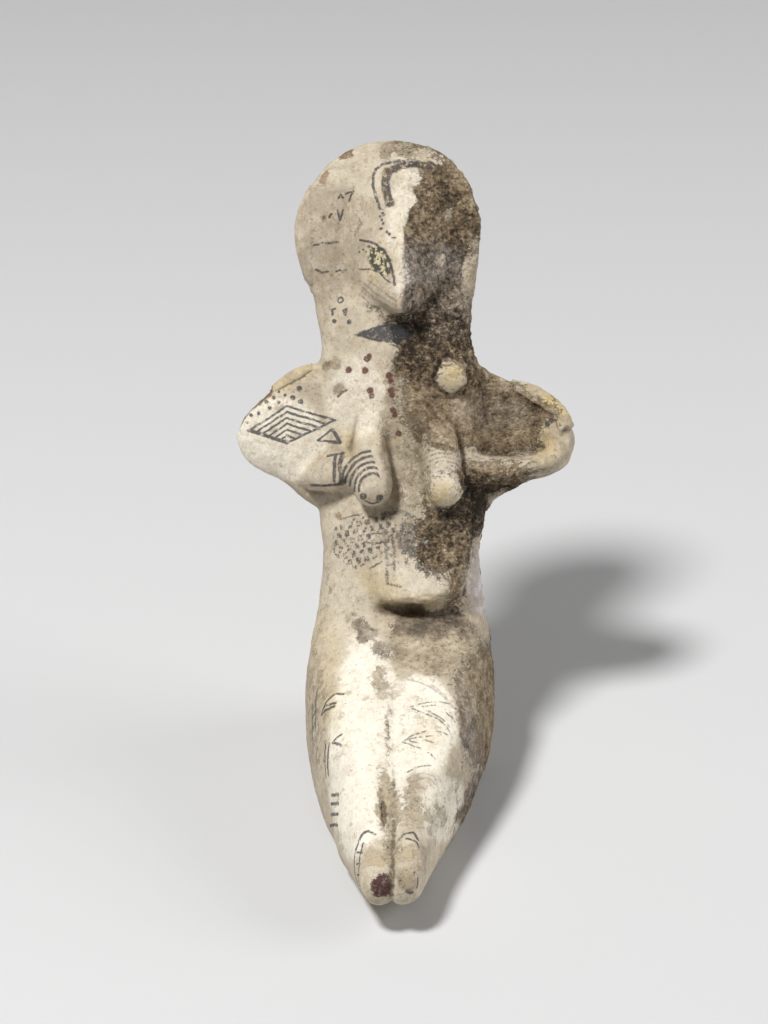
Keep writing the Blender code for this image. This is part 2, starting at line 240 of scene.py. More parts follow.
# Where the crust ends on the ridge of the face: along, across.
FACE_SIDE = (
    (158, 0.4), (168, 0.6), (176, 1), (188, 1.2), (191, 2), (195, 3), (198.5, 6), (201, 4.4), (204, 3.6),
    (208, 4.2),
)
FACE_ENDS = ((156, 162), (207, 211))  # along, where that line fades in and out
CRUST_GAPS = (
    (7, 213.4, 8.6, 3.4, -12), (25.5, 173.5, 4.6, 12, -8), (17.3, 137.8, 5.4, 5.5), (7.4, 110, 3, 12, 6),
    (13.8, 99, 6.6, 7.4), (55, 115, 7.5, 9), (30, 64, 8.5, 18.5), (13.2, 178, 1.6, 2.2),
    (10.6, 171.6, 1.5, 2), (16.2, 194.5, 1.7, 3.6), (8, 81.5, 2, 1.4, 10), (10.6, 68.6, 1.9, 1.9),
)
# A thin film of grime: how strong, and the oval.
FILM = (
    (1, 12, 48, 18, 11, -4), (0.95, 26, 36, 9, 20), (0.74, -7, 34.5, 3.6, 7.2), (0.78, 3.5, 128, 9.5, 22),
    (0.68, -3, 121, 5.5, 13), (0.66, 5, 99, 7, 9), (1, 1, 217, 6.5, 4, -6), (0.9, -4.6, 214.6, 3.2, 3.4),
    (0.88, -12.6, 50.6, 5.2, 4, -35), (0.84, -6.4, 45, 4.4, 3, -20), (0.55, -18, 55, 6, 3, -10),
    (0.9, 15, 157, 16, 15), (0.95, -4.9, -1, 4.4, 10.5, 8), (0.66, 4, 0, 5, 9), (0.8, -4.3, 20, 1.5, 11),
    (0.72, -4, -14, 4, 6), (0.66, 9, -6, 8, 5, -14), (0.6, 6, -17, 4, 5), (0.7, -4.8, 104, 2.2, 8),
    (0.46, 17, -2, 6, 14), (0.52, 23, 10, 3, 14, 12), (0.84, -9.4, 161.8, 5.4, 1.7, -38),
    (0.8, -6, 158.4, 4.6, 1.5, -32), (0.86, -5.2, 113, 2.4, 9, 4), (0.8, -17.9, 113.5, 1.2, 3.6),
    (1.1, 1, -22.8, 4, 3.6), (0.54, -29, 26, 4.5, 30, 4), (0.48, -27.5, 62, 4, 20, -4),
    (1.2, -24, 141.6, 3.4, 1.8, -8), (0.95, -21.5, 133.6, 3, 1.9, 28), (0.5, 20.5, 66, 3, 10, -6),
    (0.55, 28, 176, 6, 22, -6),
)
FILM_GAP = (30, 66, 8, 18, 0)
# Where the slip is gone: how dark the clay is, and the oval.
BARE = (
    (0.9, -19.6, 214.4, 3.2, 1.2, 24), (0.6, -26.6, 206.4, 1.3, 3.4, -14),
    (0.5, -14.7, 189.2, 0.4, 1.5, -8), (0.9, -26.3, 191.6, 1.2, 0.8, 40),
    (0.02, -7.9, -16.2, 4.2, 2.9, -12), (0.1, 1.4, -15.2, 4, 2.3, 8), (0.4, 1, -22.6, 2.8, 2.4),
    (0.5, -21.2, 89.6, 1.3, 1), (0.1, 56.4, 113.5, 1.1, 2.2, 6),
)
# How dark the crust and grime are, darker under the right forearm and under the belly's lip as painted shade;
# how blue-grey or yellow the surface is, and how clean the slip is: value and oval.
TONE_AND_SHADE = (
    (0.52, 17, 192, 15, 22), (0.8, 27, 196, 5, 20, -10), (0.5, 14, 172, 14, 9), (1, 11, 150, 17, 12),
    (0.55, 20, 138, 14, 8), (0.22, 18, 125, 18, 10), (0.05, 36, 123, 17, 12), (0.25, 31, 108, 14, 3),
    (0.95, 31, 101, 14, 3), (1.3, 24, 92, 10, 12), (0.8, -8.6, 160.6, 7, 5, -38), (0.2, 2, 112, 6, 16),
    (0.66, 14, 79, 10, 10), (0, 26, 22, 8, 27, 6), (0.4, 24, -8, 6, 16, -24), (0.25, 10, 45, 20, 10),
    (1, 9, 54.5, 17, 5, -3), (0.7, -12.4, 50.5, 6, 5, -35), (0.66, -6.5, 45, 5, 3.6, -20),
    (0, -7.5, 33.6, 6, 8), (0.05, 2, -4, 16, 16),
)
COOL = (
    (0.8, 12, 176, 12, 9), (0.35, 12, 158, 15, 9), (0.7, -8.5, 161.8, 4, 2.4, -30), (0.3, 33, 126, 14, 8),
    (0.5, 14, 163, 14, 6), (1, 29, 66, 7, 20), (0.9, 2.4, 170, 2.2, 10), (0.12, 10, 48, 20, 10),
    (0.6, -12.4, 50.5, 5, 4.6, -20), (0.6, -6.5, 44, 4, 3), (0.7, 22, 10, 5, 26, 6), (0.5, 9, -12, 5, 5),
)
YELLOW = (
    (1, 49, 128, 10, 5.5, -32), (0.7, 50, 114, 4, 6), (0.8, 12.8, 97.5, 4.4, 4.6),
    (0.7, 17.3, 137.8, 5.5, 5.5), (0.22, 0, 186, 1.6, 9), (0.35, -26, 40, 6, 22, 6),
    (0.6, -7, 66, 9, 5, -30), (0.4, 8, 61, 12, 3), (0.25, 9, 20, 5, 5), (0.35, -8, 176, 5, 6),
    (0.6, -37, 138, 8, 2.6, 34), (1, -17.9, 113.5, 2.2, 4.6),
)
PALE = (
    (0.84, 1, 190, 8, 34), (0.7, -14, 208, 14, 9), (0.15, -24, 176, 11, 26), (0, -16, 180, 3.4, 14, 8),
    (0.6, -8, 175, 7, 8), (0.66, -16, 152, 13, 13), (0.82, -15, 130, 12, 16), (0.9, -42, 116, 18, 16),
    (0.6, -26, 104, 6, 7), (0.7, -11, 104, 7, 12), (0.8, 14, 100, 7, 12), (0.7, -20, 80, 10, 14),
    (0.78, 2, 68, 16, 9), (0.76, -22, 54, 14, 20), (0.7, -24, 10, 6, 30, 4), (1.15, -11, 12, 13, 38),
    (1.1, 7, 22, 12, 16), (0.98, 13, -5, 9, 13), (0.7, 0, -25, 18, 16),
)


def regions(at, base, table, back):
    """A value that each oval of the table blends towards its own, and the value of the back."""
    value = np.full(len(at.x), float(base))
    for target, *row in table:
        share = step(at.oval(*row), -2.5, 3.0)
        value += share * (target - value)
    return at.front * value + (1 - at.front) * back


def union(fields):
    """The greatest of several fields at each point."""
    return reduce(np.maximum, fields)


def crust_depth(at):
    """How deep inside the crusted area each point is, in millimetres; less than 0 outside."""
    front = union(at.oval(*row) for row in CRUST)
    gaps = union(at.oval(*row) for row in CRUST_GAPS)
    rim = np.where(at.x > RIM_FROM, 2.2 - 1.2 * at.above_line(RIM_LINE), 9)
    front = np.minimum(np.minimum(front, -gaps), rim)
    ridge = 2.2 * (at.x - np.interp(at.along, *zip(*FACE_SIDE)))
    beside = between(at.along, *FACE_ENDS)
    front = np.minimum(front, np.where(beside > 0.5, ridge, 9))
    patches = 8 * (clouds(at.points @ TURNED, 34, 133, 5, 0.6) - 0.06) + 0.16 * (at.x - 6)
    back = np.minimum(patches, 5)
    low = np.where(at.z < 3, -2.0, 0.0)
    depth = at.front * front + (1 - at.front) * back + low
    loose = 1 - 0.8 * hump(at.x - ridge_middle(at.along), 1, 3) * beside
    return np.clip(depth + 1.1 * loose * clouds(at.points, 5, 141, 3), -8, 8)


def film_strength(at):
    """How strong the film of grime is, 0 to 1.3."""
    total = np.zeros(len(at.x))
    for strength, *row in FILM:
        total = np.maximum(total, strength * step(at.oval(*row), -1.6, 1.8))
    back = 0.35 + 0.5 * clouds(at.points, 20, 151, 3)
    total = total * at.front + (1 - at.front) * np.clip(back, 0, 0.9)
    total *= 1 - 0.85 * step(at.oval(*FILM_GAP), -2, 2)
    return np.clip(total + 0.25 * step(-at.z, -10, 0), 0, 1.3)


def bare_depth(at):
    """Depth inside the places where the slip is lost, and how dark the clay is there."""
    depth, dark = np.full(len(at.x), -6.0), np.full(len(at.x), 0.5)
    for shade, *row in BARE:
        oval = at.oval(*row)
        dark = np.where(oval > depth, shade, dark)
        depth = np.maximum(depth, oval)
    edge = 0.9 + at.above_line(WORN_EDGE)
    broken = np.where((at.x < WORN_EDGE[-1][0]) & (at.along > WORN_FROM), edge, -6.0)
    dark = np.where(broken > depth, 1.0, dark)
    depth = np.where(at.front > 0.3, np.maximum(depth, broken), -6.0)
    chips = 5.0 * (clouds(at.points, 9, 161, 3) - 0.78) - 3.0 * at.front
    return np.clip(np.maximum(depth, chips), -6, 6), dark


# ---- relief ----

# The ridge of the face: along, across.
RIDGE = ((158, -0.2), (166, -0.4), (178, -0.5), (190, -0.2), (200, 0.6), (210, 1))
RIDGE_WIDTH, RIDGE_PROUD = 1.7, 1.15
RIDGE_START, RIDGE_FADE = (158, 163), (180, 202)  # along
BEAK_TIP = (-1, 156)  # across, along
# The groove between the legs, by y: how far across it is, and how strong.
GROOVE = (
    (-104, -3.5), (-92, -3.2), (-80, -2.8), (-70, -2.5), (-58, -2.7), (-46, -3.2), (-30, -3.2), (-14, -3.6),
)
GROOVE_FORCE = (
    (-104, 1.5), (-97, 1.2), (-90, 0.8), (-82, 0.5), (-62, 0.45), (-56, 0.28), (-42, 0.25), (-38, 0.42),
    (-28, 0.42), (-22, 0),
)
GROOVE_WIDTH, GROOVE_DEPTH = 0.7, 0.75
GROOVE_FROM, GROOVE_LOW = (10, 16), (8, 14)  # where it fades in, to the front and from the floor
SLOT = (-5.9, -3.2, 1, 4.6, 8)  # between the legs
POROUS = (-5, -2, 4.5, 11, 6)  # round the slot
SLOT_FROM = -40  # y: both lie in front of this
# Broken edges, as (across, along): the rim of the right wing, the flake and the worn edge of the left one.
RIM_LINE = (
    (38.8, 135.4), (40.9, 131.9), (43.5, 130.8), (45.4, 128.9), (48.4, 127.8), (50.7, 125.9), (53.7, 122.9),
    (54.8, 119.4), (61, 120.4),
)
# Across: where the rim stops the crust, and where it steps up and is cut in.
RIM_FROM, RIM_STEP, RIM_CUT = 36, (38.5, 61.5), (39, 59)
FLAKE_LINE = ((-45.6, 132.6), (-41.8, 133.8), (-38.3, 136), (-34.3, 137.8), (-31, 140.6))
WORN_EDGE = ((-57, 119.5), (-55.2, 123.3), (-52.4, 126.8), (-48.1, 129.9), (-44.6, 132.8))
WORN_FROM = 120  # along
CURL_LINE = ((54.6, 119), (55.2, 114.6), (53.2, 111.2), (49.5, 109.8))
CURL_DISH = (51, 114.5, 3.6, 4.4)
CHEST_CRACK = ((-21.8, 130.7), (-20.4, 132.2), (-18.8, 132.9))
BELLY_LIP = (5.5, 61, 14, 3)
UNDER_LIP = 58  # how far along the crease under the belly is
UNDER_ENDS = ((-11, -5), (4, 10))  # across
LIP_OUT, UNDER_OUT = 16, 8  # how far out of the trunk each begins
EDGE_WIDTH = 0.3  # over which a broken edge steps up
PELLET_EDGE = (17.3, 137.8, 5.6, 5.7)
# Parts raised a little, the breasts' upper parts and the forearm: how high, their soft edge, and the oval.
RAISED = (
    (1.5, (-0.5, 4), -10.8, 117.5, 6.6, 10.5, 5), (1.2, (-0.5, 4), 13.6, 112.5, 7.6, 10, -5),
    (1.3, (-0.3, 1.8), -25.4, 104.4, 8.8, 5, 4),
)
# Creases beside the forearm and breasts, as (across, along), with how deep they are.
CREASES = (
    (0.9, ((-33.6, 101.6), (-34.4, 99.4), (-32.6, 97.8), (-26, 97.3), (-18.4, 97.4))),
    (0.7, ((-17.9, 104), (-17.2, 114.5), (-15.3, 123.4), (-12.2, 127))),
    (0.7, ((-6.3, 124.7), (-4, 114.9), (-2.5, 106))), (0.6, ((8.2, 120.5), (5.4, 112.3), (6.7, 101))),
    (0.6, ((18.6, 119.6), (21.2, 110.6), (21.2, 100))),
)
# Where the form is smoothed: the right dish's root, the belly's far corner, the head's edge, beside the face.
EASED = ((28.5, 126, 7, 16), (15.5, 58.8, 8.5, 5), (-30.5, 166, 6, 6), (-15, 189, 5, 12))


def ridge_middle(along):
    """How far across the ridge of the face is at a height."""
    return np.interp(along, *zip(*RIDGE))


def carve(at, crust):
    """How far each point moves along its normal, in millimetres, and how dark its cut, crease or overhang is
    painted: dirt and painted shade.
    """
    points = at.points
    cloud = partial(clouds, points)
    above = step(at.z, 0.4, 3)
    front = at.front
    move = 0.3 * cloud(22, 201, 2)
    move += 0.2 * cloud(7, 205, 3)
    move += 0.09 * cloud(1.9, 209, 2)
    cut_dirt_and_shade = np.zeros(len(points))

    thick = step(crust, -0.5, 1.4)
    lumps = cloud(3.4, 221, 4, 0.66)
    knobs, mark = cells(points, 2.3, 231)
    grains = step(0.62 - knobs, 0, 0.5) * (0.4 + 0.6 * mark)
    rough = 0.35 + 0.65 * step(at.tone, 0.1, 0.8)
    move += thick * (0.12 + rough * (0.85 * lumps + 0.55 * grains))

    ridge = hump(at.x - ridge_middle(at.along), 0, RIDGE_WIDTH) * step(at.along, *RIDGE_START)
    move += RIDGE_PROUD * ridge * (1 - step(at.along, *RIDGE_FADE)) * front
    # Under the point of the face the surface is pressed in and painted darker as shade.
    under_beak = hump(at.along, BEAK_TIP[1], 3.2) * hump(at.x, BEAK_TIP[0], 9) * front
    move -= 1.3 * under_beak
    cut_dirt_and_shade += 0.5 * under_beak

    legs = step(-at.y, *GROOVE_FROM) * step(at.z, *GROOVE_LOW) * (at.facing > -0.2)
    force = np.interp(at.y, *zip(*GROOVE_FORCE))
    middle = np.interp(at.y, *zip(*GROOVE)) + 0.3 * cloud(6, 239, 2)
    groove = legs * hump(at.x - middle, 0, GROOVE_WIDTH * (0.8 + 0.5 * force)) * force
    move -= groove * GROOVE_DEPTH * (1 + 0.5 * cloud(3, 241, 2))
    cut_dirt_and_shade += groove * (0.65 + 0.9 * cloud(2.2, 243, 3))

    slot = step(at.oval(*SLOT, wavy=False) + 0.5 * cloud(1.8, 251, 2), -0.4, 0.7) * (at.y < SLOT_FROM)
    porous = step(at.oval(*POROUS), -1, 1.5) * (at.y < SLOT_FROM)
    move -= 1.9 * slot + 0.3 * porous * (1 + cloud(2.2, 255, 3, 0.6))
    cut_dirt_and_shade += slot + 0.3 * porous * step(cloud(1.6, 257, 2), 0.1, 0.4)

    rim = at.above_line(RIM_LINE) + 0.5 * cloud(2.6, 261, 2)
    shell = step(rim, -EDGE_WIDTH, EDGE_WIDTH) * within(at.x, *RIM_STEP) * front
    move += shell * (1.15 + 0.3 * cloud(2.6, 265, 2))
    cut_dirt_and_shade += 0.9 * hump(rim, -0.5, 0.55) * within(at.x, *RIM_CUT) * front
    away, _ = at.near_line(CURL_LINE)
    move += 0.55 * hump(away, 0, 0.8) * front - 0.7 * step(at.oval(*CURL_DISH), -0.5, 2) * front

    flake = at.above_line(FLAKE_LINE) + 0.35 * cloud(2.2, 271, 2)
    flake = np.where(within(at.x, FLAKE_LINE[0][0], FLAKE_LINE[-1][0]), flake, -3)
    move += 0.65 * step(flake, -EDGE_WIDTH, EDGE_WIDTH) * front
    cut_dirt_and_shade += 1.3 * hump(flake, -0.25, 0.4) * front
    worn = np.where((at.x < WORN_EDGE[-1][0]) & (at.along > WORN_FROM - 1), at.above_line(WORN_EDGE), -3)
    move -= 0.5 * step(worn, -0.9, 0.2) * (1 + 0.8 * cloud(2.5, 275, 3)) * front
    away, _ = at.near_line(CHEST_CRACK)
    crack = hump(away, 0, 0.45) * front
    move -= 0.8 * crack
    cut_dirt_and_shade += 1.2 * crack

    lip = step(at.oval(*BELLY_LIP), -1, 1.5) * (at.out > LIP_OUT)
    move += lip * 0.75 * cloud(3, 281, 4, 0.6)
    # Under the belly's lip the surface is pressed in and painted darker as shade.
    reach = between(at.x, *UNDER_ENDS) * (at.out > UNDER_OUT)
    under = hump(at.along, UNDER_LIP - 0.6 * hump(at.x, 0, 6), 2) * reach
    move -= 3 * under
    cut_dirt_and_shade += 0.5 * under

    pellet = at.oval(*PELLET_EDGE) + 0.5 * cloud(2.4, 285, 3)
    move += 0.6 * step(pellet, -0.3, 0.4) * front - 0.5 * hump(pellet, -0.6, 0.5) * front
    cut_dirt_and_shade += 0.7 * hump(pellet, -0.5, 0.45) * front
    for height, edge, *row in RAISED:
        move += height * step(at.oval(*row, wavy=False), *edge) * front
    for depth, path in CREASES:
        away, how_far = at.near_line(path)
        crease = hump(away, 0, 1) * front * np.sin(np.pi * np.clip(how_far, 0.06, 0.94))
        move -= depth * crease
        cut_dirt_and_shade += 0.35 * crease

    bare, _ = bare_depth(at)
    move -= 0.25 * step(bare, -0.2, 0.3) * (1 - thick)
    return move * above, np.clip(cut_dirt_and_shade, 0, 1)


def vertex_normals(points, triangles):
    """Unit normals, from the triangles round each point."""
    a, b, c = (points[triangles[:, k]] for k in range(3))
    face = np.cross(b - a, c - a)
    normals = np.zeros_like(points)
    for k in range(3):
        np.add.at(normals, triangles[:, k], face)
    return normals / np.maximum(np.linalg.norm(normals, axis=1, keepdims=True), 1e-12)


def listed(items, name, width, kind=int):
    """One value of each of the mesh's items, a row each."""
    values = np.empty(len(items) * width, kind)
    items.foreach_get(name, values)
    return values.reshape(-1, width)


def mesh_arrays(mesh):
    """The mesh's points, in the figure's millimetres, and its triangles."""
    mesh.calc_loop_triangles()
    points = listed(mesh.vertices, "co", 3, float)
    return points / UNIT - TRUNK_FOOT, listed(mesh.loop_triangles, "vertices", 3)


def neighbours_mean(points, edges, passes):
    """The points after passes of smoothing."""
    count = np.bincount(edges.ravel(), minlength=len(points))[:, None]
    for _ in range(passes):
        total = np.zeros_like(points)
        np.add.at(total, edges[:, 0], points[edges[:, 1]])
        np.add.at(total, edges[:, 1], points[edges[:, 0]])
        points = 0.4 * points + 0.6 * total / np.maximum(count, 1)
    return points


def surface(figure):
    """Carves and crusts the smooth form, flattens its underside, and thins it out to the triangle limit."""
    mesh = figure.data
    points, triangles = mesh_arrays(mesh)
    edges = listed(mesh.edges, "vertices", 2)
    at = Places(points, vertex_normals(points, triangles))
    share = union(step(at.oval(*row, wavy=False), -1, 3) for row in EASED)
    points = points + share[:, None] * (neighbours_mean(points, edges, EASE_PASSES) - points)
    at = Places(points, vertex_normals(points, triangles))
    move, _ = carve(at, crust_depth(at))
    points = points + at.normals * move[:, None]
    points[:, 2] = np.maximum(points[:, 2], 0)
    mesh.vertices.foreach_set("co", ((points + TRUNK_FOOT) * UNIT).ravel())
    mesh.update()
    if len(triangles) > VISUAL_TRIANGLES:
        thin = figure.modifiers.new("Thin out", "DECIMATE")
        thin.use_collapse_triangulate = True
        thin.ratio = VISUAL_TRIANGLES / len(triangles)
        apply_modifiers(figure)


def fields(mesh):
    """Stores what the material reads: depth in crust and bare clay, film, tones, and hollows, which it paints
    darker as dirt and painted shade.
    """
    points, triangles = mesh_arrays(mesh)
    normals = vertex_normals(points, triangles)
    at = Places(points, normals)
    edges = listed(mesh.edges, "vertices", 2)
    crust = crust_depth(at)
    _, cut_dirt_and_shade = carve(at, crust)
    # Hollows, creases, cuts and overhangs, to be painted darker: dirt and painted shade.
    rounder = neighbours_mean(points, edges, 14)
    hollow = np.einsum("ij,ij->i", rounder - points, normals)
    broad = np.einsum("ij,ij->i", neighbours_mean(rounder, edges, 60) - points, normals)
    shade = (hollow * 2.2 + broad * 0.8) * (0.2 + 0.8 * step(crust, -3, 1)) + cut_dirt_and_shade
    bare, dark = bare_depth(at)
    values = {
        "crust": crust,
        "film": film_strength(at),
        "bare": bare,
        "bare_dark": dark,
        "tone": at.tone,
        "cool": regions(at, 0.05, COOL, 0.15),
        "yellow": regions(at, 0, YELLOW, 0),
        "pale": regions(at, 0.4, PALE, 0.4),
        "hollow": np.clip(shade, -1.5, 1.5),
    }
    for name, value in values.items():
        mesh.attributes.new(name, "FLOAT", "POINT").data.foreach_set("value", value.astype(np.float32))


# ---- material ----

SLIP_WHITE, SLIP_CREAM = (0.9, 0.84, 0.71), (0.64, 0.56, 0.43)
SLIP_WARM, SLIP_GREY = (0.5, 0.4, 0.27), (0.37, 0.305, 0.225)
LAVENDER, YELLOW_CLAY = (0.66, 0.615, 0.645), (0.64, 0.49, 0.225)
STAIN, SOOT = (0.3, 0.205, 0.11), (0.2, 0.16, 0.115)
BUFF, OCHRE = (0.5, 0.41, 0.275), (0.17, 0.095, 0.042)
INK, INK_BROWN = (0.048, 0.046, 0.05), (0.115, 0.068, 0.034)
IRIS, EYE_PALE = (0.046, 0.044, 0.036), (0.62, 0.54, 0.33)
RED, MAROON = (0.15, 0.045, 0.034), (0.062, 0.028, 0.024)
# The second colour darkens hollows, creases and the places under overhangs: dirt and painted shade.
GRIME_PALE, HOLLOW_DIRT_AND_SHADE = (0.36, 0.29, 0.205), (0.12, 0.088, 0.052)
# Crust from its dark pits to its pale grains.
EARTH = (
    (0, (0.032, 0.021, 0.012)), (0.22, (0.1, 0.068, 0.038)), (0.42, (0.235, 0.165, 0.095)),
    (0.6, (0.375, 0.275, 0.165)), (0.8, (0.54, 0.425, 0.28)), (1, (0.75, 0.65, 0.48)),
)
EARTH_COOL = (
    (0, (0.035, 0.028, 0.023)), (0.25, (0.13, 0.113, 0.097)), (0.5, (0.3, 0.272, 0.248)),
    (0.75, (0.48, 0.44, 0.41)), (1, (0.74, 0.69, 0.635)),
)
# Grime, from its dark specks to where it is thinnest.
SOIL = (
    (0, (0.045, 0.033, 0.023)), (0.25, (0.175, 0.131, 0.087)), (0.5, (0.335, 0.267, 0.177)),
    (0.75, (0.49, 0.405, 0.272)), (1, (0.64, 0.56, 0.44)),
)


def feed(slot, value):
    """Links a socket to a number or place, or sets it."""
    if isinstance(value, (Number, Spot)):
        slot.id_data.links.new(value.socket, slot)
    elif isinstance(value, bpy.types.NodeSocket):
        slot.id_data.links.new(value, slot)
    else:
        slot.default_value = value


def node(beside, kind, *values, **settings):
    """A shader node in another number's or place's tree, with its settings, and its inputs fed in order."""
    made = beside.socket.id_data.nodes.new("ShaderNode" + kind)
    for name, setting in settings.items():
        setattr(made, name, setting)
    for slot, value in zip(made.inputs, values):
        feed(slot, value)
    return made


def maths(operation):
    """A method of a number that adds a Math node, which takes the number first."""
    return lambda self, *others: self.make(operation, self, *others)


class Number:
    """A number that varies over the surface. Arithmetic on it adds Math nodes."""

    def __init__(self, socket):
        self.socket = socket

    def make(self, operation, *values):
        return Number(node(self, "Math", *values, operation=operation).outputs[0])

    __add__ = __radd__ = maths("ADD")
    __mul__ = __rmul__ = maths("MULTIPLY")
    __sub__, least, most = maths("SUBTRACT"), maths("MINIMUM"), maths("MAXIMUM")
    size, root = maths("ABSOLUTE"), maths("SQRT")

    def __rsub__(self, other):
        return self.make("SUBTRACT", other, self)

    def __neg__(self):
        return self * -1

    def held(self):
        """Kept between 0 and 1, by a node of its own, as a Math node's clamp fills the shader's stack."""
        return Number(node(self, "Clamp", self).outputs[0])

    def wave(self, spacing):
        """Distance to the nearest whole number of spacings."""
        return self.make("PINGPONG", self, spacing / 2)

    def rise(self, start, end, low=0, high=1):
        """From low to high as the number goes from start to end, smoothly."""
        settings = {"interpolation_type": "SMOOTHSTEP", "clamp": False}
        return Number(node(self, "MapRange", self, start, end, low, high, **settings).outputs[0])

    def ramp(self, stops):
        """A colour for the number, from stops of (number, colour)."""
        made = node(self, "ValToRGB", self)
        line = made.color_ramp.elements
        while len(line) < len(stops):
            line.new(1)
        for stop, (at, colour) in zip(line, stops):
            stop.position, stop.color = at, (*colour, 1)
        return made.outputs[0]


class Spot:
    """A place on the surface, in millimetres."""

    def __init__(self, socket):
        self.socket = socket

    def make(self, operation, *values):
        return node(self, "VectorMath", *values, operation=operation)

    def minus(self, other):
        return Spot(self.make("SUBTRACT", self, other).outputs["Vector"])

    def times(self, other):
        return Spot(self.make("MULTIPLY", self, other).outputs["Vector"])

    def dot(self, other):
        return Number(self.make("DOT_PRODUCT", self, other).outputs["Value"])

    def far(self, other):
        return Number(self.make("DISTANCE", self, other).outputs["Value"])

    def parts(self):
        return [Number(s) for s in node(self, "SeparateXYZ", self).outputs]

    def noise(self, per_mm, detail, rough, shift, stretch=None):
        """Cloudy noise, 0 to 1 about 0.5, with per_mm features a millimetre."""
        where = self.times(stretch) if stretch else self
        return node(self, "TexNoise", where, shift, per_mm, detail, rough, noise_dimensions="4D")

    def fog(self, *args, **words):
        return Number(self.noise(*args, **words).outputs["Fac"])

    def grains(self, per_mm):
        """Distance to the nearest grain, in grain widths, and that grain's own number."""
        made = node(self, "TexVoronoi", self)
        feed(made.inputs["Scale"], per_mm)
        tone = node(self, "SeparateColor", made.outputs["Color"])
        return Number(made.outputs["Distance"]), Number(tone.outputs[0])


def spot(x, y):
    return Spot(node(x, "CombineXYZ", x, y).outputs[0])


def blend(factor, under, over):
    """The over colour laid on the under one by factor."""
    made = node(factor, "Mix", factor, data_type="RGBA", clamp_factor=True)
    for slot, colour in ((made.inputs[6], under), (made.inputs[7], over)):
        feed(slot, (*colour, 1) if isinstance(colour, tuple) else colour)
    return made.outputs[2]


def shaded(colour, amount):
    """The colour made brighter or darker by a number."""
    made = node(amount, "HueSaturation")
    feed(made.inputs["Color"], colour)
    feed(made.inputs["Value"], amount)
    return made.outputs[0]


# ---- painting ----

# Every mark is a signed distance, less than 0 in the paint.


def first(marks):
    """The nearest of several marks."""
    return reduce(Number.least, marks)


def strongest(numbers):
    """The greatest of several numbers."""
    return reduce(Number.most, numbers)


def gap(q, start, end):
    """Distance from the straight line between two points."""
    way = np.array((end[0] - start[0], end[1] - start[1], 0))
    away = q.minus((*start, 0))
    share = away.dot(tuple(way / (way @ way))).held()
    nearest = q.make("SCALE", tuple(way))
    feed(nearest.inputs["Scale"], share)
    return away.far(Spot(nearest.outputs["Vector"]))


def line(q, width, *corners):
    """A brush line through the corners."""
    return first(gap(q, start, end) for start, end in zip(corners, corners[1:])) - width / 2


def strokes(q, table):
    """Brush lines, from a table of the lines of each width."""
    return first(line(q, width, *corners) for width, paths in table.items() for corners in paths)


def dots(q, table):
    """Round dots, from a table of the middles of each radius."""
    sets = ((radius, first(q.far((*middle, 0)) for middle in middles)) for radius, middles in table.items())
    return first(away - radius for radius, away in sets)


def ring_mark(q, middle, radii, width):
    """Ring lines round one middle."""
    away = q.far((*middle, 0))
    return first((away - r).size() for r in radii) - width / 2


def beyond(q, start, end):
    """Distance to the left of the way from start to end."""
    way = Vector((end[0] - start[0], end[1] - start[1])).normalized()
    left = (-way.y, way.x, 0)
    return q.dot(left) - (start[0] * left[0] + start[1] * left[1])


def sides(q, *corners):
    """Distance outside a shape whose corners run clockwise."""
    return strongest(beyond(q, start, end) for start, end in zip(corners, corners[1:] + corners[:1]))


def oval_mark(q, middle, half_across, half_along, turn=0):
    c, s = math.cos(math.radians(turn)), math.sin(math.radians(turn))
    away = q.minus((*middle, 0))
    across = away.dot((c / half_across, s / half_across, 0))
    along = away.dot((-s / half_along, c / half_along, 0))
    return ((across * across + along * along).root() - 1) * min(half_across, half_along)


# The front's brush lines by width, as (across, along) corners: signs and dashes on the head, the eye's lids,
# the shoulder's diamond and triangle, and the bracelet and hem of the left arm.
FRONT_LINES = {
    0.72: (
        ((-21.7, 199.3), (-20.6, 200.6), (-20, 199.6)), ((-18.9, 201), (-16.5, 201.7), (-18.1, 198.5)),
        ((-22, 195.1), (-21, 192), (-20, 195.1)), ((-24.9, 192.8), (-24.1, 194)),
        ((-30.2, 183.1), (-28.6, 183.3), (-27.3, 184)), ((-26, 183.9), (-24, 183.8), (-21.8, 184.2)),
        ((-29.4, 174.7), (-28.2, 174.1), (-27.3, 173.6), (-25.2, 174)),
        ((-22.4, 174), (-21.3, 174.6), (-20.4, 173.9), (-19.1, 174.6)),
        ((-23.8, 159), (-23.9, 160.8), (-22.6, 161.2)),
        ((-19.2, 158.9), (-20, 160.3), (-18.9, 161), (-19, 159.6)),
    ),
    0.5: (((-14.2, 174.5), (-10.8, 174.3), (-7.7, 173.3), (-5.6, 171), (-3.6, 169.4)),),
    0.8: (
        (
            (-14.2, 184.6), (-11.6, 184.2), (-9.2, 183.2), (-7.1, 181.6), (-4.8, 178.6), (-3, 173.8),
            (-2.3, 168.6),
        ),
        ((-25.4, 110.4), (-22.4, 110.9), (-19.6, 111.3)),
    ),
    0.75: (((-21.4, 115), (-28.9, 115.8), (-23.7, 119.6)),),
    1.2: (((-23.4, 119.2), (-21.1, 115.1), (-24.6, 115.3)),),
    1.15: (
        ((-52.5, 119.1), (-45.5, 116.9), (-39.5, 114.9)), ((-22.6, 110.8), (-22.9, 106), (-22.9, 101.9)),
    ),
    1.5: (((-20.1, 111), (-21.2, 107.4), (-20.6, 104.4), (-20.3, 101.2)),),
    0.9: (((-31, 100.3), (-26, 100.2), (-20.8, 100.8)),),
}
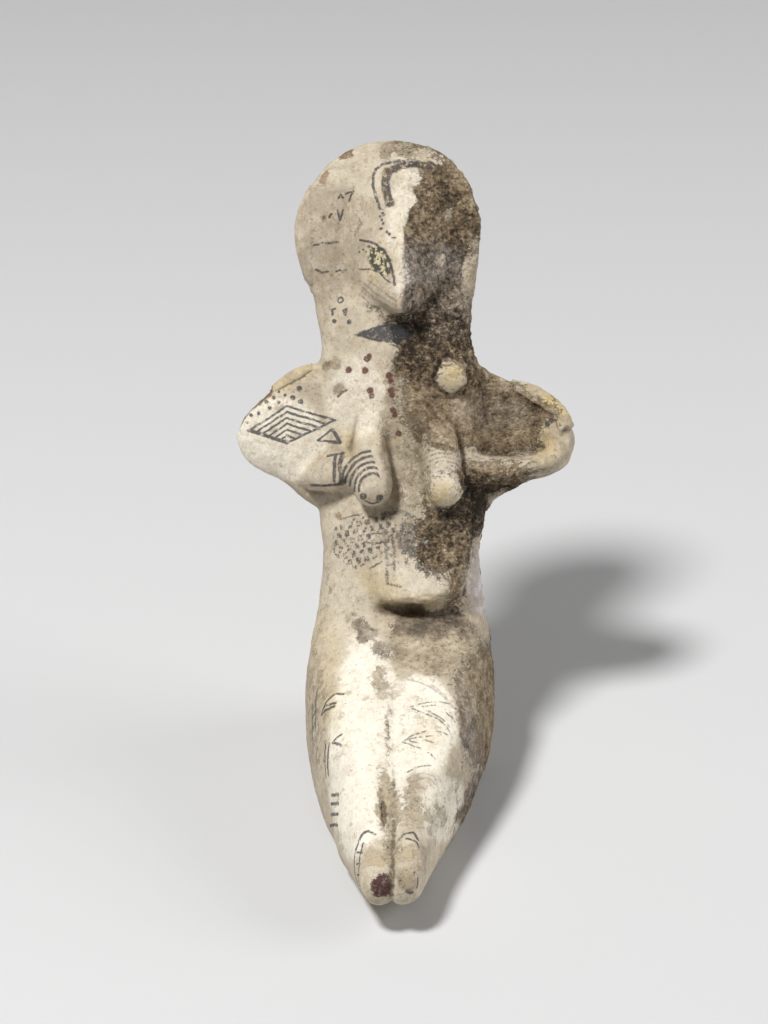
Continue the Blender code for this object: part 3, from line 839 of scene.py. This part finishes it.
# The front's dots by radius: on the cheek and beside the eye, over the left shoulder, and on the far arm.
FRONT_DOTS = {
    0.8: ((-23.1, 156.8), (-18, 156.5)),
    0.34: ((-14.4, 180.6), (-13.2, 181.2), (-12.2, 180.4), (-11.4, 182.2), (-10.2, 181)),
    0.68: ((-46.6, 129), (-44, 130.5), (-42.4, 128.9), (-45.5, 126.9), (-52, 124.5), (-49.3, 124.9)),
    0.5: ((-53.3, 121.9), (-42.2, 132.6), (-40.1, 131.4)),
    0.95: ((-35.2, 133.6), (-37.4, 130.5), (-34.7, 129.1)),
    0.85: ((46.6, 127.8), (45.6, 125.9), (49.8, 125.7), (48.7, 124.1)),
    1: ((50.6, 121.4), (52, 122.6)),
}
# The line of the hair, the trail below it, and the brown band round the crown.
HAIR_LINES = {
    1: (
        (
            (-0.8, 212.2), (-5.8, 211.2), (-8.6, 209.4), (-9.7, 206.8), (-9.6, 203), (-8.6, 199.4),
            (-7.4, 195.4),
        ),
        ((9.6, 212), (13.2, 210), (16.9, 205.7), (19.4, 202.1)),
    ),
    0.7: (((9, 201), (14.5, 198)),),
    0.5: (((-5.7, 193), (-6.6, 192.5)), ((-3.2, 184.9), (-2.2, 184.9))),
}
HAIR_TRAIL = (
    (-6.4, 193.6), (-7.2, 192.4), (-6.8, 191.2), (-6.2, 190), (-6.9, 188.2), (-5, 187), (-4.2, 186.2),
)
HAIR_BAND = {
    2.9: (((-4.6, 208.4), (-5.6, 204.6), (-5, 200.9), (-4, 197)),),
    2.6: (((-3.5, 208.8), (0, 210.6), (5, 211.2), (9.4, 210.4)),),
}
# The mouth's corners, clockwise.
MOUTH = (
    (-16.4, 151.9), (-10.5, 154.4), (-4.6, 156.2), (1.2, 155.2), (5.1, 152.6), (-0.8, 149), (-8.4, 149.6),
)
RED_DOTS = {
    1.15: (
        (-18.1, 140), (-11.8, 143.6), (-12.5, 139.7), (-4.2, 137.9), (-10.8, 132.7), (-3.5, 132.9),
        (-2.8, 126.1), (2.4, 138.3), (-1, 118.1),
    ),
    0.95: ((-3.2, 131.3), (-2.4, 124.4), (-3.6, 136.2), (-10.2, 131), (-11, 144.6)),
}
DIAMOND = ((-52.5, 119.1), (-39.5, 127.5), (-22.9, 122.6), (-39.5, 114.9))
ROOF_SPACING, ROOF_HALF, EDGE_HALF = 2.05, 0.42, 0.38  # the diamond's lines, by half widths
CHEEK_RING = ((-20.9, 164.1), (0.9,), 0.6)  # middle, radii, width


def front_marks(q):
    """The front's lines and dots, and the diamond filled with nested roofs."""
    x, along, _ = q.parts()
    left, top, right, _ = DIAMOND
    inside = sides(q, *DIAMOND)
    slopes = ((top[1] - left[1]) / (top[0] - left[0]), (top[1] - right[1]) / (top[0] - right[0]))
    below = first((x - top[0]) * slope + top[1] - along for slope in slopes)
    roofs = (below.wave(ROOF_SPACING) - ROOF_HALF).most(inside)
    ring = ring_mark(q, *CHEEK_RING)
    return first((inside.size() - EDGE_HALF, roofs, ring, strokes(q, FRONT_LINES), dots(q, FRONT_DOTS)))


LEFT_BREAST, RIGHT_BREAST = (-9.8, 99.2), (14.5, 100)
LEFT_RINGS, RIGHT_RINGS = (5.3, 7.2, 9.1, 11.1, 12.9), (8.6, 10, 11.5, 13)
TIP_DOTS = {1.15: ((-13, 96.6), (-7.4, 96.2))}
TIP_LINE = ((-12.2, 95.2), (-10, 94.3), (-7.8, 95))
RIGHT_BREAST_DOTS = {0.65: ((9, 112.2), (9, 106.8), (9.3, 104.8), (9.2, 100.4))}


def breast_marks(q):
    """Arcs over the left breast, spreading above its tip, and smudges round the tip."""
    away = q.minus((*LEFT_BREAST, 0))
    rings = ring_mark(away.times((1.15, 1, 0)), (0, 0), LEFT_RINGS, 0.95)
    sector = (away.dot((0.94, 0.33, 0)) - 3.8).most(away.dot((0, -1, 0)) - 1)
    return rings.most(sector).least(dots(q, TIP_DOTS)).least(line(q, 0.6, *TIP_LINE))


def faint_breast_marks(q):
    """Worn arcs and dots on the right breast."""
    rings = ring_mark(q, RIGHT_BREAST, RIGHT_RINGS, 0.5)
    above = 4 - q.minus((*RIGHT_BREAST, 0)).dot((0, 1, 0))
    return rings.most(above).least(dots(q, RIGHT_BREAST_DOTS))


NET_ACROSS, NET_UP = 2.9, 4.9  # spacing of the net's checks
CHECK_ACROSS, CHECK_UP = 0.8, 1  # half sizes of a check
NET_RISE = math.radians(13)
NET_AREA = ((-24.4, 77), (-23.2, 85.6), (-13.5, 89.8), (-1.5, 89.6), (-2.5, 79.5), (-15.5, 71.2))
NET_LINES = (
    ((-20.9, 88.4), (-17.1, 89.8), (-13.5, 90.4)), ((-11, 71.7), (-6.6, 74.4)),
    ((-13, 83.4), (-1.6, 84.6)), ((-13.4, 80.4), (-2.4, 81.2)),
)
# Upright bars beside the net, their rungs, and the line that arches over the belly.
BELLY_BARS = {
    1: (((-6.2, 85.5), (-5, 78.3), (-4.9, 67)), ((-3.4, 84.5), (-2.3, 78.3), (-2.5, 68.5))),
    0.8: (((-5, 76.4), (-2.4, 76.4)), ((-5, 73.4), (-2.4, 73.6)), ((-4.8, 67), (-0.4, 66))),
    1.5: (((-6.2, 90.4), (-3, 91), (0.4, 91.2), (3.6, 89.6), (6.8, 87.4)),),
}
BLOCK = ((-2.5, 80), (-0.5, 90), (13.6, 88.6), (14, 67.4), (5.4, 70.4))
BLOCK_HOLES = {
    0.62: ((5.4, 80.4), (8.4, 80.6), (11.4, 80.3), (5.4, 77.9), (8.4, 77.8), (11, 77.8), (9, 75.2)),
    1.1: ((10.8, 68.7),),
}


def belly_net(q):
    """A worn net of small checks, in rows that rise to the viewer's right."""
    across, up = q.dot((1, 0.1, 0)), q.dot((-math.sin(NET_RISE), math.cos(NET_RISE), 0))
    checks = []
    for half in (0, 0.5):
        beside = (across + NET_ACROSS * half).wave(NET_ACROSS) - CHECK_ACROSS
        checks.append(beside.most((up + NET_UP * half).wave(NET_UP) - CHECK_UP))
    return first(checks).most(sides(q, *NET_AREA))


# On the legs and feet a place is how far round the leg, and y. Feathery chevrons on the right leg:
FEATHERS = (
    ((4.3, -33.5), (8, -31.6), (13, -31.1)), ((7.3, -33.5), (9.9, -32.9)),
    ((4.7, -34.4), (7.1, -35.7), (10.2, -37.9), (13.2, -40.5), (14.8, -41.9)),
    ((8.4, -35.2), (11, -37.4), (14.4, -40.3)), ((12.9, -35.2), (15.6, -36.9)),
    ((2.6, -48), (5.4, -45.4), (8.9, -43.9)), ((3.9, -47.2), (6.3, -46.4)),
    ((7.4, -46.3), (10.4, -45.9)), ((2.6, -48), (5.2, -49.5), (7.9, -50.9)),
    ((4.7, -47.7), (7.3, -48.7)), ((8.7, -47.4), (11, -48.6)), ((11.5, -43.6), (14.3, -43.6)),
    ((10.4, -52.7), (13.1, -55.2)), ((4, -60.8), (7.2, -59), (11.7, -57.6)),
)
# Bars across the left leg: where each starts, and its reach. Then that leg's lines.
LADDER = ((-27.7, -54.9, 5), (-30.6, -55.8, 6.2), (-35.2, -55.8, 8.3), (-41.6, -53.8, 11.3))
LEFT_LEG = {
    0.8: (
        ((-18.8, -28.3), (-16.2, -26.5), (-13.7, -26.3), (-11.8, -27.5)), ((-18.8, -28.3), (-14.6, -30.6)),
        ((-17.2, -27.3), (-14, -29.8)), ((-14.5, -43.7), (-17.7, -43.6), (-15.3, -47.4)),
        ((-18.4, -17.8), (-20.6, -22.4), (-23.2, -28.1)), ((-21.6, -17.6), (-26.4, -27)),
        ((-20.8, -22.6), (-23.8, -21.4)), ((-22.2, -25.6), (-25.2, -24.2)),
        ((-20.3, -41), (-22.9, -44.2), (-25.9, -48.1)), ((-19, -42.5), (-21.6, -45.8), (-24.5, -49.2)),
    ),
    1.1: tuple(((a, y), (a + reach, y - 1.25 * reach)) for a, y, reach in LADDER),
}
# Thin grey streaks round the knees.
STREAKS = (
    ((4.5, -63.5), (9.2, -61.1), (13.9, -61), (16.9, -63.6)),
    ((7.4, -64.5), (11.6, -62.4), (15.5, -63.1)),
    ((3.4, -21.6), (5.9, -22.8), (8.6, -24.9), (11.2, -28.2), (14.4, -32)), ((8.6, -24), (12.3, -29)),
)
# Scratches left by smoothing, which run in under the point of the face.
SCRATCHES = (
    ((-14, 170.6), (-8.4, 165.8), (-1.5, 161.4)), ((-13.6, 168.4), (-9, 164.2), (-4.6, 161.6)),
    ((-11.6, 171), (-6.4, 166.6), (-1.6, 163)), ((-14.4, 166.2), (-11.2, 163), (-7.6, 160.8)),
)
# Lines over each foot and down its side, with ticks across the left one.
TICKS = ((-11.2, -88), (-13.4, -90.4), (-15.8, -92.6), (-18.2, -94.8))
FOOT_LINES = {
    0.75: ((
        (-5.2, -84.6), (-6.6, -83.1), (-8.2, -83.7), (-9.8, -85.6), (-13.7, -88.4),
        (-17.4, -91), (-21.1, -93.5),
    ),),
    0.6: (((-8.6, -86.9), (-9.5, -88.5), (-12, -92), (-17.3, -96), (-21, -98)),),
    0.7: (((1.6, -86), (2.8, -84.3), (5.2, -83.6), (6.9, -85.6)), ((3.6, -86.2), (6.5, -86.6), (7.6, -88.2))),
    0.8: (((9, -97.5), (10.2, -101.4), (12.5, -102), (16, -101.4)), ((11.8, -98), (15, -99.6))),
    0.55: tuple(((a, y), (a + 1.5, y - 2)) for a, y in TICKS),
}
EYE = ((-7.4, 177.3), 3.5, 6.2, 30)  # middle, half widths, turn
RED_TOE = ((-6.6, -24.4), 3.5, 3.9, -16)
# How far out of the trunk's plane, or towards the feet, some paint begins.
BREASTS_OUT, BELLY_OUT, MOUTH_OUT = 16.2, 9, 16
LEGS_FROM, FEET_FROM, TOE_FROM = -8, -78, -92
# The lines that the legs' and feet's paint is wrapped round: x, z, and the radius it is measured at.
LEG_AXIS, FOOT_AXIS = (-2.5, 15, 24), (-2.6, 16, 11)


def wrapped(p, axis, sway_x, sway_y):
    """Places round and along a line that runs back, with the brush's sway."""
    x, y, z = p.parts()
    middle_x, middle_z, radius = axis
    around = x.make("ARCTAN2", x - middle_x, z - middle_z) * radius
    return spot(around + sway_x, y + sway_y)


def new_material(name):
    """A material and its shader."""
    material = bpy.data.materials.new(name)
    material.use_nodes = True
    return material, material.node_tree.nodes["Principled BSDF"]


def clay_material():
    """Cream slip with its worn painting, grime, bare clay and burial crust."""
    material, shader = new_material("slipped_clay_aged")
    p = Spot(material.node_tree.nodes.new("ShaderNodeTexCoord").outputs["Object"])
    p = Spot(p.make("MULTIPLY_ADD", p, (1 / UNIT,) * 3, tuple(-TRUNK_FOOT)).outputs["Vector"])
    x, y, z = p.parts()
    along, out = p.dot(tuple(ALONG)), p.dot(tuple(OUT))
    names = ("crust", "film", "bare", "bare_dark", "hollow", "tone", "cool", "yellow", "pale")
    fields = (Number(node(p, "Attribute", attribute_name=name).outputs["Fac"]) for name in names)
    crust, film, bare, bare_dark, hollow, tone, cool, yellow, pale = fields

    # Noise that several layers share.
    patch = p.fog(0.32, 5, 0.62, shift=1.7)
    fine = p.fog(1.3, 6, 0.7, shift=5.3)
    grit = p.fog(4.2, 3, 0.65, shift=8.9)

    # Slip: white where it is clean, cream and greyer elsewhere, with mottling, stains and specks.
    clean = pale + (patch - 0.5) * 1.1 + (fine - 0.5) * 0.5
    slip = blend(pale.rise(0.66, 1.06, 0, 0.35) + clean.rise(0.74, 0.9, 0, 0.65), SLIP_CREAM, SLIP_WHITE)
    slip = blend(patch.rise(0.46, 0.66) * pale.rise(0.3, 1.2, 0.85, 0.25), slip, SLIP_WARM)
    slip = blend(((0.8 - pale) * fine.rise(0.3, 0.7, 0.5, 1.1)).held(), slip, SLIP_GREY)
    slip = blend(cool.rise(0.75, 1) * 0.8, slip, LAVENDER)
    slip = blend(yellow * patch.rise(0.36, 0.56, 0.35, 1), slip, YELLOW_CLAY)
    stain = p.fog(0.2, 6, 0.72, shift=21)
    slip = blend(stain.rise(0.545, 0.63, 0, 0.46), slip, STAIN)
    aged = p.fog(0.17, 8, 0.68, shift=61)
    slip = blend(aged.rise(0.44, 0.54) * pale.rise(0, 1.1, 0.8, 0.1), slip, SLIP_GREY)
    scuffs = p.fog(0.75, 6, 0.75, shift=71)
    slip = blend(scuffs.rise(0.53, 0.62) * pale.rise(0, 1.2, 0.8, 0.24), slip, STAIN)
    slip = blend(scuffs.rise(0.43, 0.36) * pale.rise(0, 1.1, 0.5, 0.1), slip, SLIP_CREAM)
    speck_away, speck_mark = p.grains(0.75)
    specks = (speck_mark * 0.24 - speck_away).rise(0, 0.07)
    slip = blend(specks * aged.rise(0.42, 0.54, 0, 0.62), slip, OCHRE)
    brush = p.fog(1, 4, 0.6, shift=4.4, stretch=(2, 0.3, 0.3))
    slip = shaded(slip, brush.rise(0.25, 0.75, 0.965, 1.03) * grit.rise(0.2, 0.8, 0.96, 1.04))
    slip = blend(film * 0.25, slip, GRIME_PALE)

    # The painting, on a plane that leans with the trunk, and wrapped round the legs and feet.
    sway_x, sway_y, _ = Spot(p.noise(0.35, 2, 0.5, shift=12).outputs["Color"]).parts()
    sway_x, sway_y = sway_x * 0.9 - 0.45, sway_y * 0.9 - 0.45
    fuzz = (fine - 0.5) * 0.75 + (grit - 0.5) * 0.4
    worn = p.fog(0.85, 5, 0.72, shift=30)
    back = -out
    q = spot(x + sway_x, along + sway_y)
    w = wrapped(p, LEG_AXIS, sway_x * 0.6, sway_y * 0.6)
    f = wrapped(p, FOOT_AXIS, sway_x * 0.5, sway_y * 0.5)
    on_legs = (2 - z).most(y - LEGS_FROM)
    on_breasts, on_belly = BREASTS_OUT - out, BELLY_OUT - out
    marks = front_marks(q).least(strokes(q, HAIR_LINES).least(dots(q, {0.5: HAIR_TRAIL})) + fuzz * 0.8)
    marks = marks.most(back - 2).least(breast_marks(q).most(on_breasts))
    marks = marks.least(strokes(w, LEFT_LEG).most(on_legs)).least(strokes(f, FOOT_LINES).most(y - FEET_FROM))
    ink = (marks + fuzz).rise(0.2, -0.16) * worn.rise(0.34, 0.5, 0.15, 0.95)
    feathers = (strokes(w, {0.55: FEATHERS}).most(on_legs) + fuzz * 1.2).rise(0.22, -0.18)
    feathers = feathers * worn.rise(0.4, 0.54, 0, 0.85)
    streaks = strokes(w, {0.5: STREAKS}).most(on_legs).least(strokes(q, {0.4: SCRATCHES}))
    streaks = (streaks + fuzz).rise(0.25, -0.2) * worn.rise(0.36, 0.56, 0, 0.5)
    bars = (strokes(q, BELLY_BARS).most(on_belly) + fuzz * 2.4).rise(0.4, -0.3)
    bars = bars * worn.rise(0.42, 0.54, 0.1, 0.8)
    faint = (faint_breast_marks(q).most(on_breasts) + fuzz).rise(0.2, -0.16) * worn.rise(0.42, 0.56, 0, 0.6)
    stir_x, stir_y, _ = Spot(p.noise(0.55, 3, 0.6, shift=15).outputs["Color"]).parts()
    stirred = spot(x + stir_x * 1.8 - 0.9, along + stir_y * 1.8 - 0.9)
    net = (belly_net(stirred) + fuzz * 1.5).most(on_belly)
    net = net.rise(0.22, -0.2) * worn.rise(0.42, 0.54, 0.05, 0.92)
    net_lines = (strokes(stirred, {0.55: NET_LINES}) + fuzz).most(on_belly)
    net_lines = net_lines.rise(0.2, -0.16) * worn.rise(0.38, 0.52, 0, 0.85)
    block = sides(q, *BLOCK) + (patch - 0.5) * 15 + (fine - 0.5) * 6 + 0.6
    block = block.most(on_belly).most(-dots(q, BLOCK_HOLES) - fuzz)
    block = block.rise(0.35, -0.35) * fine.rise(0.36, 0.52, 0.15, 0.95)
    eyeball = (oval_mark(q, *EYE) + (worn - 0.5) * 3).most(back).rise(0.4, -0.5)
    iris = eyeball * p.fog(0.55, 5, 0.66, shift=33).rise(0.47, 0.51)
    mouth = (sides(q, *MOUTH) + fuzz * 2).most(out - MOUTH_OUT).most(back)
    mouth = mouth.rise(0.3, -0.3) * worn.rise(0.34, 0.5, 0.45, 1)
    slip = blend(eyeball * 0.55, slip, EYE_PALE)
    slip = blend(strongest((ink, feathers, streaks, bars, faint, net, net_lines)) * 0.94, slip, INK)
    slip = blend(block * 0.94, slip, blend(scuffs.rise(0.42, 0.58), INK, SOOT))
    slip = blend(iris * 0.95, slip, IRIS)
    hair = (strokes(q, HAIR_BAND) + fuzz * 2.4).most(back).rise(0.5, -0.4) * worn.rise(0.32, 0.5, 0.1, 1)
    slip = blend(hair * 0.96, slip, blend((fine + patch).rise(0.94, 1.04), INK, INK_BROWN))
    red = (dots(q, RED_DOTS) + fuzz * 1.5).most(back).rise(0.25, -0.25) * worn.rise(0.3, 0.46, 0.25, 0.92)
    toe = (oval_mark(q, *RED_TOE) + (worn - 0.5) * 5).most(y - TOE_FROM)
    toe = toe.rise(0.4, -0.4) * worn.rise(0.3, 0.5, 0.55, 1)
    slip = blend(toe, slip, blend(fine.rise(0.5, 0.7), MAROON, RED))

    # Bare clay where the slip is lost.
    lost = (bare + (fine - 0.5) * 2.6 + (patch - 0.5) * 2).rise(-0.15, 0.3)
    clay = blend((bare_dark + (fine - 0.5) * 1.6 + (scuffs - 0.5) * 1.2).held(), BUFF, OCHRE)
    body = blend(lost * 0.94, slip, shaded(clay, grit.rise(0.2, 0.8, 0.8, 1.2)))

    # Grime: a film with crisp edges, the red dots over it, and dark earth with painted shade in hollows,
    # creases and under overhangs.
    coarse = p.fog(0.62, 8, 0.74, shift=40)
    rough_tone = (coarse - 0.5) * 1.8 + (fine - 0.5) * 1.7 + (grit - 0.5) * 1.5
    film_edge = (film + (patch - 0.5) * 2 + (fine - 0.5) * 1.5 - 0.62).rise(-0.09, 0.14)
    # Grime is darker where the tone is high, which includes painted shade under the belly's lip.
    grime = rough_tone * 0.36 + (aged - 0.5) * 1.7 + (patch - 0.5) * 0.8 + tone.rise(0.1, 1, 0.62, 0.2)
    grime = (grime - scuffs.rise(0.53, 0.62, 0, 0.36)).held()
    grime = blend(cool * 0.75, grime.ramp(SOIL), grime.ramp(EARTH_COOL))
    body = blend(film_edge * film.rise(0, 1, 0.55, 0.92), body, grime)
    body = blend(red, body, blend(fine.rise(0.42, 0.6), RED, MAROON))
    # Dirt and painted shade in hollows, creases and under the beak and the belly's lip.
    dirt_and_shade = hollow.rise(0.15, 1) * fine.rise(0.28, 0.56, 0.4, 1)
    body = blend(dirt_and_shade * 0.9, body, HOLLOW_DIRT_AND_SHADE)

    # Crust: grains of dark and pale earth, thinning to specks at its edge. The mouth is painted over it.
    grain_away, grain_mark = p.grains(1.2)
    strands = p.fog(0.8, 6, 0.72, shift=80, stretch=(0.62, 1, 1.6))
    # The crust is painted darker in hollows, as dirt and shade, and by its tone, which includes painted shade
    # under the right forearm and the belly's lip.
    value = rough_tone * 0.75 + (strands - 0.5) * 1.8 + (grain_mark - 0.5) * 0.35
    value = value * tone.rise(0.1, 1, 0.48, 0.86) + (patch - 0.5) * 0.8 + (aged - 0.5) * 1.4
    value = (value + (0.6 - tone * 0.35) - hollow * 0.14 - grain_away * 0.08).held()
    earth = blend(cool * patch.rise(0.34, 0.58, 0.25, 0.9), value.ramp(EARTH), value.ramp(EARTH_COOL))
    edge = crust + (patch - 0.5) * 5.5 + (fine - 0.5) * 5.5 + (grit - 0.5) * 2
    cover = edge.rise(-0.3, 0.35) * (1 - scuffs.rise(0.4, 0.35) * crust.rise(4, 0.2, 0, 0.8))
    dusting = (strands + crust.rise(-5, 0, 0, 0.12)).rise(0.64, 0.7)
    cover = cover.most(dusting * 0.6)
    body = blend(cover * 0.98, body, earth)
    body = blend(mouth * 0.95, body, INK)
    feed(shader.inputs["Base Color"], body)

    rough = 0.66 + grit.rise(0.2, 0.8, -0.05, 0.08) + cover * 0.22
    feed(shader.inputs["Roughness"], rough.held())
    shader.inputs["Specular IOR Level"].default_value = 0.35

    # Fine grain that the mesh is too coarse for.
    height = (grit * 0.5 + fine * 1.1 + coarse * 1.2 + strands) * cover.rise(0, 1, 0.22, 1.25)
    height = height - grain_away * cover * 0.4 + brush * 0.1 - lost * 0.15 + film_edge * 0.12
    bump = node(height, "Bump")
    bump.inputs["Strength"].default_value = 0.9
    bump.inputs["Distance"].default_value = 0.001
    feed(bump.inputs["Height"], height)
    feed(shader.inputs["Normal"], bump.outputs[0])
    return material


# ---- studio ----

# Sizes in metres.
FLOOR_HALF, FLOOR_FRONT, FLOOR_BACK = 2.2, -1.6, 1.1
BEND, WALL_TOP = 0.5, 2.2  # the radius between the floor and the wall, and the wall's height
FLOOR_DROP = 0.0002  # keeps the floor clear of the figure's flat underside
FLOOR_GREY = 0.6
# Lights: place, width, power. They aim at the middle of the figure.
SOFTBOXES = {"key": ((-0.76, -0.64, 1.92), 0.42, 49), "side": ((1.55, 0.05, 0.75), 1.2, 15)}
AIM = Vector((0, 0, 0.09))
WORLD_GLOW = 0.12
CAMERA_PLACE = (-5.92, -871.57, 526.03)  # in the figure's frame
CAMERA_DOWN = math.radians(26)
LENS, SENSOR = 102.08, 36


def backdrop():
    """A pale floor that curves up into a wall behind."""
    material, shader = new_material("floor_paper")
    shader.inputs["Base Color"].default_value = (FLOOR_GREY, FLOOR_GREY, FLOOR_GREY, 1)
    shader.inputs["Roughness"].default_value = 0.9
    turns = np.linspace(0.1, math.pi / 2, 14)
    profile = [(FLOOR_FRONT, 0), (FLOOR_BACK, 0)]
    profile += [(FLOOR_BACK + BEND * math.sin(a), BEND - BEND * math.cos(a)) for a in turns]
    profile.append((FLOOR_BACK + BEND, WALL_TOP))
    bm = bmesh.new()
    rows = [[bm.verts.new((x, y, z - FLOOR_DROP)) for x in (-FLOOR_HALF, FLOOR_HALF)] for y, z in profile]
    for near, far in zip(rows, rows[1:]):
        bm.faces.new((near[0], near[1], far[1], far[0]))
    floor = mesh_object("floor", bm)
    floor.data.shade_smooth()
    floor.data.materials.append(material)


def softbox(name, place, width, power):
    light = bpy.data.lights.new(name, "AREA")
    light.shape = "DISK"
    light.size = width
    light.energy = power
    lamp = scene_object(name, light)
    lamp.location = place
    lamp.rotation_euler = (AIM - Vector(place)).to_track_quat("-Z", "Y").to_euler()


def studio():
    """The floor, two soft lights and a dim white surrounding."""
    backdrop()
    for name, row in SOFTBOXES.items():
        softbox(name, *row)
    world = bpy.data.worlds.new("studio")
    world.use_nodes = True
    surrounding = world.node_tree.nodes["Background"]
    surrounding.inputs["Color"].default_value = (1, 1, 1, 1)
    surrounding.inputs["Strength"].default_value = WORLD_GLOW
    bpy.context.scene.world = world
    bpy.context.scene.view_settings.view_transform = "Standard"


def camera():
    lens = bpy.data.cameras.new("camera")
    lens.lens = LENS
    lens.sensor_width = SENSOR
    lens.clip_start = 0.01
    holder = scene_object("camera", lens)
    holder.location = (Vector(CAMERA_PLACE) + Vector(TRUNK_FOOT)) * UNIT
    holder.rotation_euler = (math.pi / 2 - CAMERA_DOWN, 0, 0)
    bpy.context.scene.camera = holder


def main():
    figure = fine_copy(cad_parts["figurine"], "seated_figure")
    surface(figure)
    fields(figure.data)
    figure.data.shade_smooth()
    figure.data.materials.append(clay_material())
    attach(figure, "root")
    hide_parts("figurine")
    camera()
    studio()


main()
